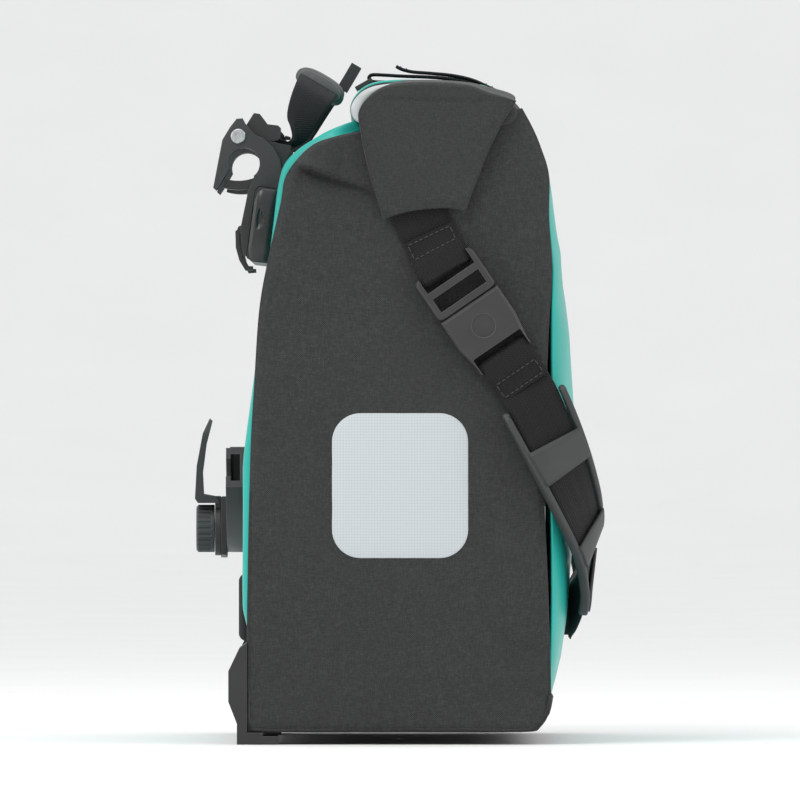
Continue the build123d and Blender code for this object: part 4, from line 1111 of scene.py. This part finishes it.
def strapGuide(tag, side):
    info = guideInfo
    steps = 8
    path = easeStations(withAcross(lowerStations), steps)
    span = path[2 * steps:8 * steps + 1]
    parts = []
    for sign in (1, -1):
        lo, hi = sorted((sign * info["railIn"], sign * info["railOut"]))
        section = roundedSection(lo, hi, info["back"], info["face"], 1.0)
        parts.append(sweep("rail", span, section))
    for first, last in info["bars"]:
        cut = path[int((2 + first) * steps):int((2 + last) * steps) + 1]
        parts.append(sweep("bar", cut, roundedSection(-14.2, 14.2, info["barBack"], info["barFace"], 0.6)))
    for sign in (1, -1):
        # rounded noses where the rails begin and end
        for index, grow in ((0, -1), (len(span) - 1, 1)):
            frames = ribbonFrames(span)
            here, wide, out, half = frames[index]
            run = (Vector(span[index][0]) - Vector(span[index - grow][0])).normalized()
            lo, hi = sorted((sign * info["railIn"], sign * info["railOut"]))
            section = roundedSection(lo, hi, info["back"], info["face"], 1.0)
            midA, midO = (lo + hi) / 2, (info["back"] + info["face"]) / 2
            rows = []
            for k in range(5):
                a = math.pi / 2 * k / 4
                f = max(0.05, math.cos(a))
                rows.append([spot(*(here + run * 1.6 * math.sin(a) + wide * (midA + (x - midA) * f)
                                     - out * (midO + (o - midO) * f)))
                             for x, o in section])
            parts.append(sheetFrom("nose", rows, closed=True, caps=True, flip=grow > 0))
    whole = join("strapGuide" + tag, parts)
    if side < 0:
        for v in whole.data.vertices:
            v.co.y = -v.co.y
        whole.data.flip_normals()
    work = bmesh.new()
    work.from_mesh(whole.data)
    bmesh.ops.recalc_face_normals(work, faces=work.faces)
    work.to_mesh(whole.data)
    work.free()
    return dress(whole, framePlastic)


for side, tag in ((1, "Near"), (-1, "Far")):
    guide = strapGuide(tag, side)
    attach(guide, "bag")
    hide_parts("strap_frame_" + tag.lower())
print("strap guides ready")

# ------------------------------------------------------------ strap over the roll
topInfo = {"half": 10.0, "thick": 1.35}


def topStrap():
    half = (0, 1, 0)
    lower = [(49.5, 294.9), (42.3, 298.7), (33, 302.5), (23, 304.2), (5, 304.5), (-6, 304.4), (-10.6, 304.5)]
    turn = [(-12.5, 305.0), (-13.6, 306.0), (-13.0, 307.2), (-11.2, 307.8)]
    upper = [(-6, 307.6), (3, 307.0), (14, 306.7), (24, 305.8), (34, 303.8), (42.9, 300.0), (48.8, 296.8)]
    line = [((x, 0, z), half, topInfo["half"]) for x, z in lower + turn + upper]
    return easeStations(line, 3)


def looseTip():
    # third layer: the strap's stitched end, standing off the others
    line = [((x, 0, z), (0, 1, 0), topInfo["half"]) for x, z in
            ((46.0, 300.1), (42.0, 302.0), (34.5, 305.3), (25, 307.4), (15, 308.4), (7, 309.0), (2.0, 310.2),
              (-0.8, 311.6))]
    return easeStations(line, 4)


topPath, tipPath = topStrap(), looseTip()
overStrap = join("overStrap", [ribbon("a", topPath, topInfo["thick"], 0.1, 3.0),
                               ribbon("b", tipPath, topInfo["thick"], 0.1, 4.0)])
dress(overStrap, webbing)
tipEnd = runTo(tipPath, len(tipPath) - 1)
tipSeams = seams("overStitches", tipPath, [((tipEnd - 2.0, -8.5), (tipEnd - 2.0, 8.5)),
                                           ((tipEnd - 5.0, -8.5), (tipEnd - 5.0, 8.5)),
                                          ((3.0, -8.5), (3.0, 8.5)), ((6.0, -8.5), (6.0, 8.5))], topInfo["thick"] / 2 + 0.1)
for piece in (overStrap, tipSeams):
    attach(piece, "bag")
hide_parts("top_strap")
print("top strap ready")

# ------------------------------------------------------------ carrying handle webbing between the two hooks
handleInfo = {"eye": (-57.79, 279.5), "hookY": -75.0, "legHalf": 4.9, "half": 10.0, "thick": 1.35,
              "top": (-36.29, 302.0), "gripAcross": (0.86, 0, -0.51)}


def handlePath():
    info = handleInfo
    ex, ez = info["eye"]
    y, leg, wide = info["hookY"], info["legHalf"], info["half"]
    flat = (0, 1, 0)
    near = [((ex + 8.6, y, ez - 2.6), flat, leg), ((ex + 5.4, y, ez - 2.3), flat, leg),
            ((ex + 3.6, y, ez - 0.3), flat, leg)]
    for a in (25, 70, 115, 160, 205, 255):
        near.append(((ex + 2.5 * math.cos(math.radians(a)), y, ez + 2.5 * math.sin(math.radians(a))), flat, leg))
    near += [((ex + 7.4, y + 1.5, ez - 4.6), (0.1, 0.99, 0.1), leg),
             ((ex + 11.2, y + 5, ez - 0.6), (0.55, 0.8, -0.2), 6.6),
             ((ex + 13.2, y + 9, ez + 5.6), (0.80, 0.42, -0.40), 7.8),
             ((ex + 16.0, y + 14, ez + 12.4), (0.85, 0.2, -0.5), 8.8),
             ((ex + 19.2, y + 21, ez + 18.8), (0.86, 0.1, -0.5), 9.6),
             ((info["top"][0] - 0.3, -40, info["top"][1]), info["gripAcross"], wide),
             ((info["top"][0], -20, info["top"][1] + 0.8), info["gripAcross"], wide)]
    middle = [((info["top"][0], 0, info["top"][1] + 1.0), info["gripAcross"], wide)]
    far = [((x, -yy, z), (a, -b, c), h) for (x, yy, z), (a, b, c), h in reversed(near)]
    return easeStations(near + middle + far, 4)


handleLine = handlePath()
handlePiece = dress(ribbon("handleWebbing", handleLine, handleInfo["thick"], 0.08, 8.0), webbing)
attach(handlePiece, "handle")
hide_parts("handle_strap")
handleEnd = runTo(handleLine, len(handleLine) - 1)
stitched = seams("handleStitches", handleLine, [((1.0, -3.6), (5.0, -3.6)), ((1.0, 3.6), (5.0, 3.6)), ((1.0, -3.6), (1.0, 3.6)),
                                               ((5.0, -3.6), (5.0, 3.6)),
                                              ((handleEnd - 1.0, -3.6), (handleEnd - 5.0, -3.6)),
                                               ((handleEnd - 1.0, 3.6), (handleEnd - 5.0, 3.6)),
                                              ((handleEnd - 1.0, -3.6), (handleEnd - 1.0, 3.6))], 0.8)
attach(stitched, "handle")

gripInfo = {"long": 38.0, "wide": 11.6, "tall": 4.6, "arch": 1.4, "rib": 0.22, "rows": 96, "columns": 48}


def gripSleeve():
    # rubber sleeve moulded over the webbing: oval, arched, with rolled ends and fine ribs
    info = gripInfo
    topX, topZ = handleInfo["top"]
    wide = Vector(handleInfo["gripAcross"]).normalized()
    up = Vector((0.51, 0, 0.86)).normalized()
    rows = []
    for j in range(info["rows"] + 1):
        s = 2 * j / info["rows"] - 1
        y = info["long"] * s
        end = smooth01((1 - abs(s)) / 0.06)
        lip = 0.5 * math.exp(-((abs(s) - 0.95) / 0.025) ** 2)
        ribs = info["rib"] * math.sin(abs(y) * math.tau / 3.2) * smooth01((0.82 - abs(s)) / 0.05)
        grow = 0.90 + 0.10 * end
        mid = Vector((topX, y, topZ)) + up * info["arch"] * (1 - s * s)
        row = []
        for i in range(info["columns"]):
            a = math.tau * i / info["columns"]
            ca, sa = math.cos(a), math.sin(a)
            r = 1 / (abs(ca) ** 2.6 + abs(sa) ** 2.6) ** (1 / 2.6)
            row.append(spot(*(mid + wide * ca * r * (info["wide"] * grow + lip + ribs)
                              + up * sa * r * (info["tall"] * grow + lip + ribs))))
        rows.append(row)
    return sheetFrom("gripSleeve", rows, closed=True, caps=True)


sleeve = dress(gripSleeve(), gripRubber)
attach(sleeve, "handle")
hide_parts("handle_grip")
print("handle ready")

# ------------------------------------------------------------ soft-edged end caps of the top rail
capInfo = {
    "half": (5.6, 16.6), "round": 2.7, "puff": 2.6,
    "slotHalf": (1.1, 4.6), "slotAt": (-2.2, 3.2), "slotDeep": 1.3,
}


def railCap():
    info = capInfo
    low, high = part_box("rail_cap_near")
    mid = (low + high) / 2
    up = Vector((0.1279, 0, 0.9918))
    across = Vector((0.9918, 0, -0.1279))
    rings, count = [], 64
    face = low.y
    for k in range(15):
        t = k / 14
        size = math.cos(t * math.pi / 2) ** 0.62 if t < 1 else 0.0
        rise = math.sin(t * math.pi / 2) ** 1.4 * info["puff"]
        ring = []
        for i in range(count):
            a = math.tau * i / count
            ca, sa = math.cos(a), math.sin(a)
            r = 1 / (abs(ca) ** (2 + info["round"]) + abs(sa) ** (2 + info["round"])) ** (1 / (2 + info["round"]))
            px, pz = ca * r * info["half"][0] * max(size, 0.02), sa * r * info["half"][1] * max(size, 0.02)
            sx, sz = (px - info["slotAt"][0]) / info["slotHalf"][0], (pz - info["slotAt"][1]) / info["slotHalf"][1]
            dip = info["slotDeep"] * (1 - smooth01((math.hypot(sx, sz) - 0.7) / 0.6))
            ring.append(mid + across * px * mm + up * pz * mm + Vector((0, face - mid.y - (rise - dip - 2.4) * mm, 0)))
        rings.append(ring)
    back = [p + Vector((0, high.y - face - 2.4 * mm, 0)) for p in rings[0]]
    return sheetFrom("railCapNear", [back] + rings, closed=True, caps=True, flip=True)


capNear = dress(railCap(), glossPlastic)
capFar = mirroredCopy(capNear, "railCapFar")
for piece, name in ((capNear, "near"), (capFar, "far")):
    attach(piece, "bag")
    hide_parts("rail_cap_" + name)
print("rail caps ready")

# ------------------------------------------------------------ studio
def studio():
    # a wide round floor that curls up far behind every camera
    rows = []
    for reach in [0.001, 0.4, 1.0, 2.0, 4.0, 6.0, 7.5] + [7.75 + 0.25 * k for k in range(24)]:
        rise = 3.4 * smooth01((reach - 7.5) / 6.0)
        turns = [math.tau * i / 96 for i in range(96)]
        rows.append([Vector((reach * math.cos(a), reach * math.sin(a), rise)) for a in turns])
    ground = sheetFrom("studioPaper", rows, closed=True)
    ground.data.materials.append(paperFloor())

    world = bpy.data.worlds.new("studioAir")
    bpy.context.scene.world = world
    world.use_nodes = True
    sky = world.node_tree.nodes["Background"]
    sky.inputs["Color"].default_value = colour("#f4f5f6")
    sky.inputs["Strength"].default_value = 1.0

    def softbox(name, where, aim, width, height, watts, tint="#ffffff"):
        lamp = bpy.data.lights.new(name, "AREA")
        lamp.shape, lamp.size, lamp.size_y, lamp.energy = "RECTANGLE", width, height, watts
        lamp.color = colour(tint)[:3]
        holder = bpy.data.objects.new(name, lamp)
        holder.location = where
        holder.rotation_euler = (Vector(aim) - Vector(where)).to_track_quat("-Z", "Y").to_euler()
        bpy.context.scene.collection.objects.link(holder)

    softbox("keySoftbox", (-0.75, -1.15, 1.6), (0, 0, 0.16), 0.8, 0.8, 12)
    softbox("rightSoftbox", (1.7, -0.5, 0.8), (0, 0, 0.16), 0.9, 1.5, 5)
    softbox("leftSoftbox", (-1.7, -0.2, 0.7), (0, 0, 0.16), 0.7, 1.4, 4)
    softbox("topSoftbox", (0.1, 0.1, 1.7), (0, 0, 0.16), 1.2, 1.2, 4)


studio()
lens = bpy.data.cameras.new("view")
lens.lens, lens.sensor_width = 692.0, 36.0
lens.clip_start, lens.clip_end = 0.1, 30
eyePoint = bpy.data.objects.new("view", lens)
eyePoint.location = (0.0006, -7.128, 0.157)
eyePoint.rotation_euler = (math.radians(90), 0, 0)
bpy.context.scene.collection.objects.link(eyePoint)
bpy.context.scene.camera = eyePoint
bpy.context.scene.view_settings.view_transform = "Standard"
print("studio ready")
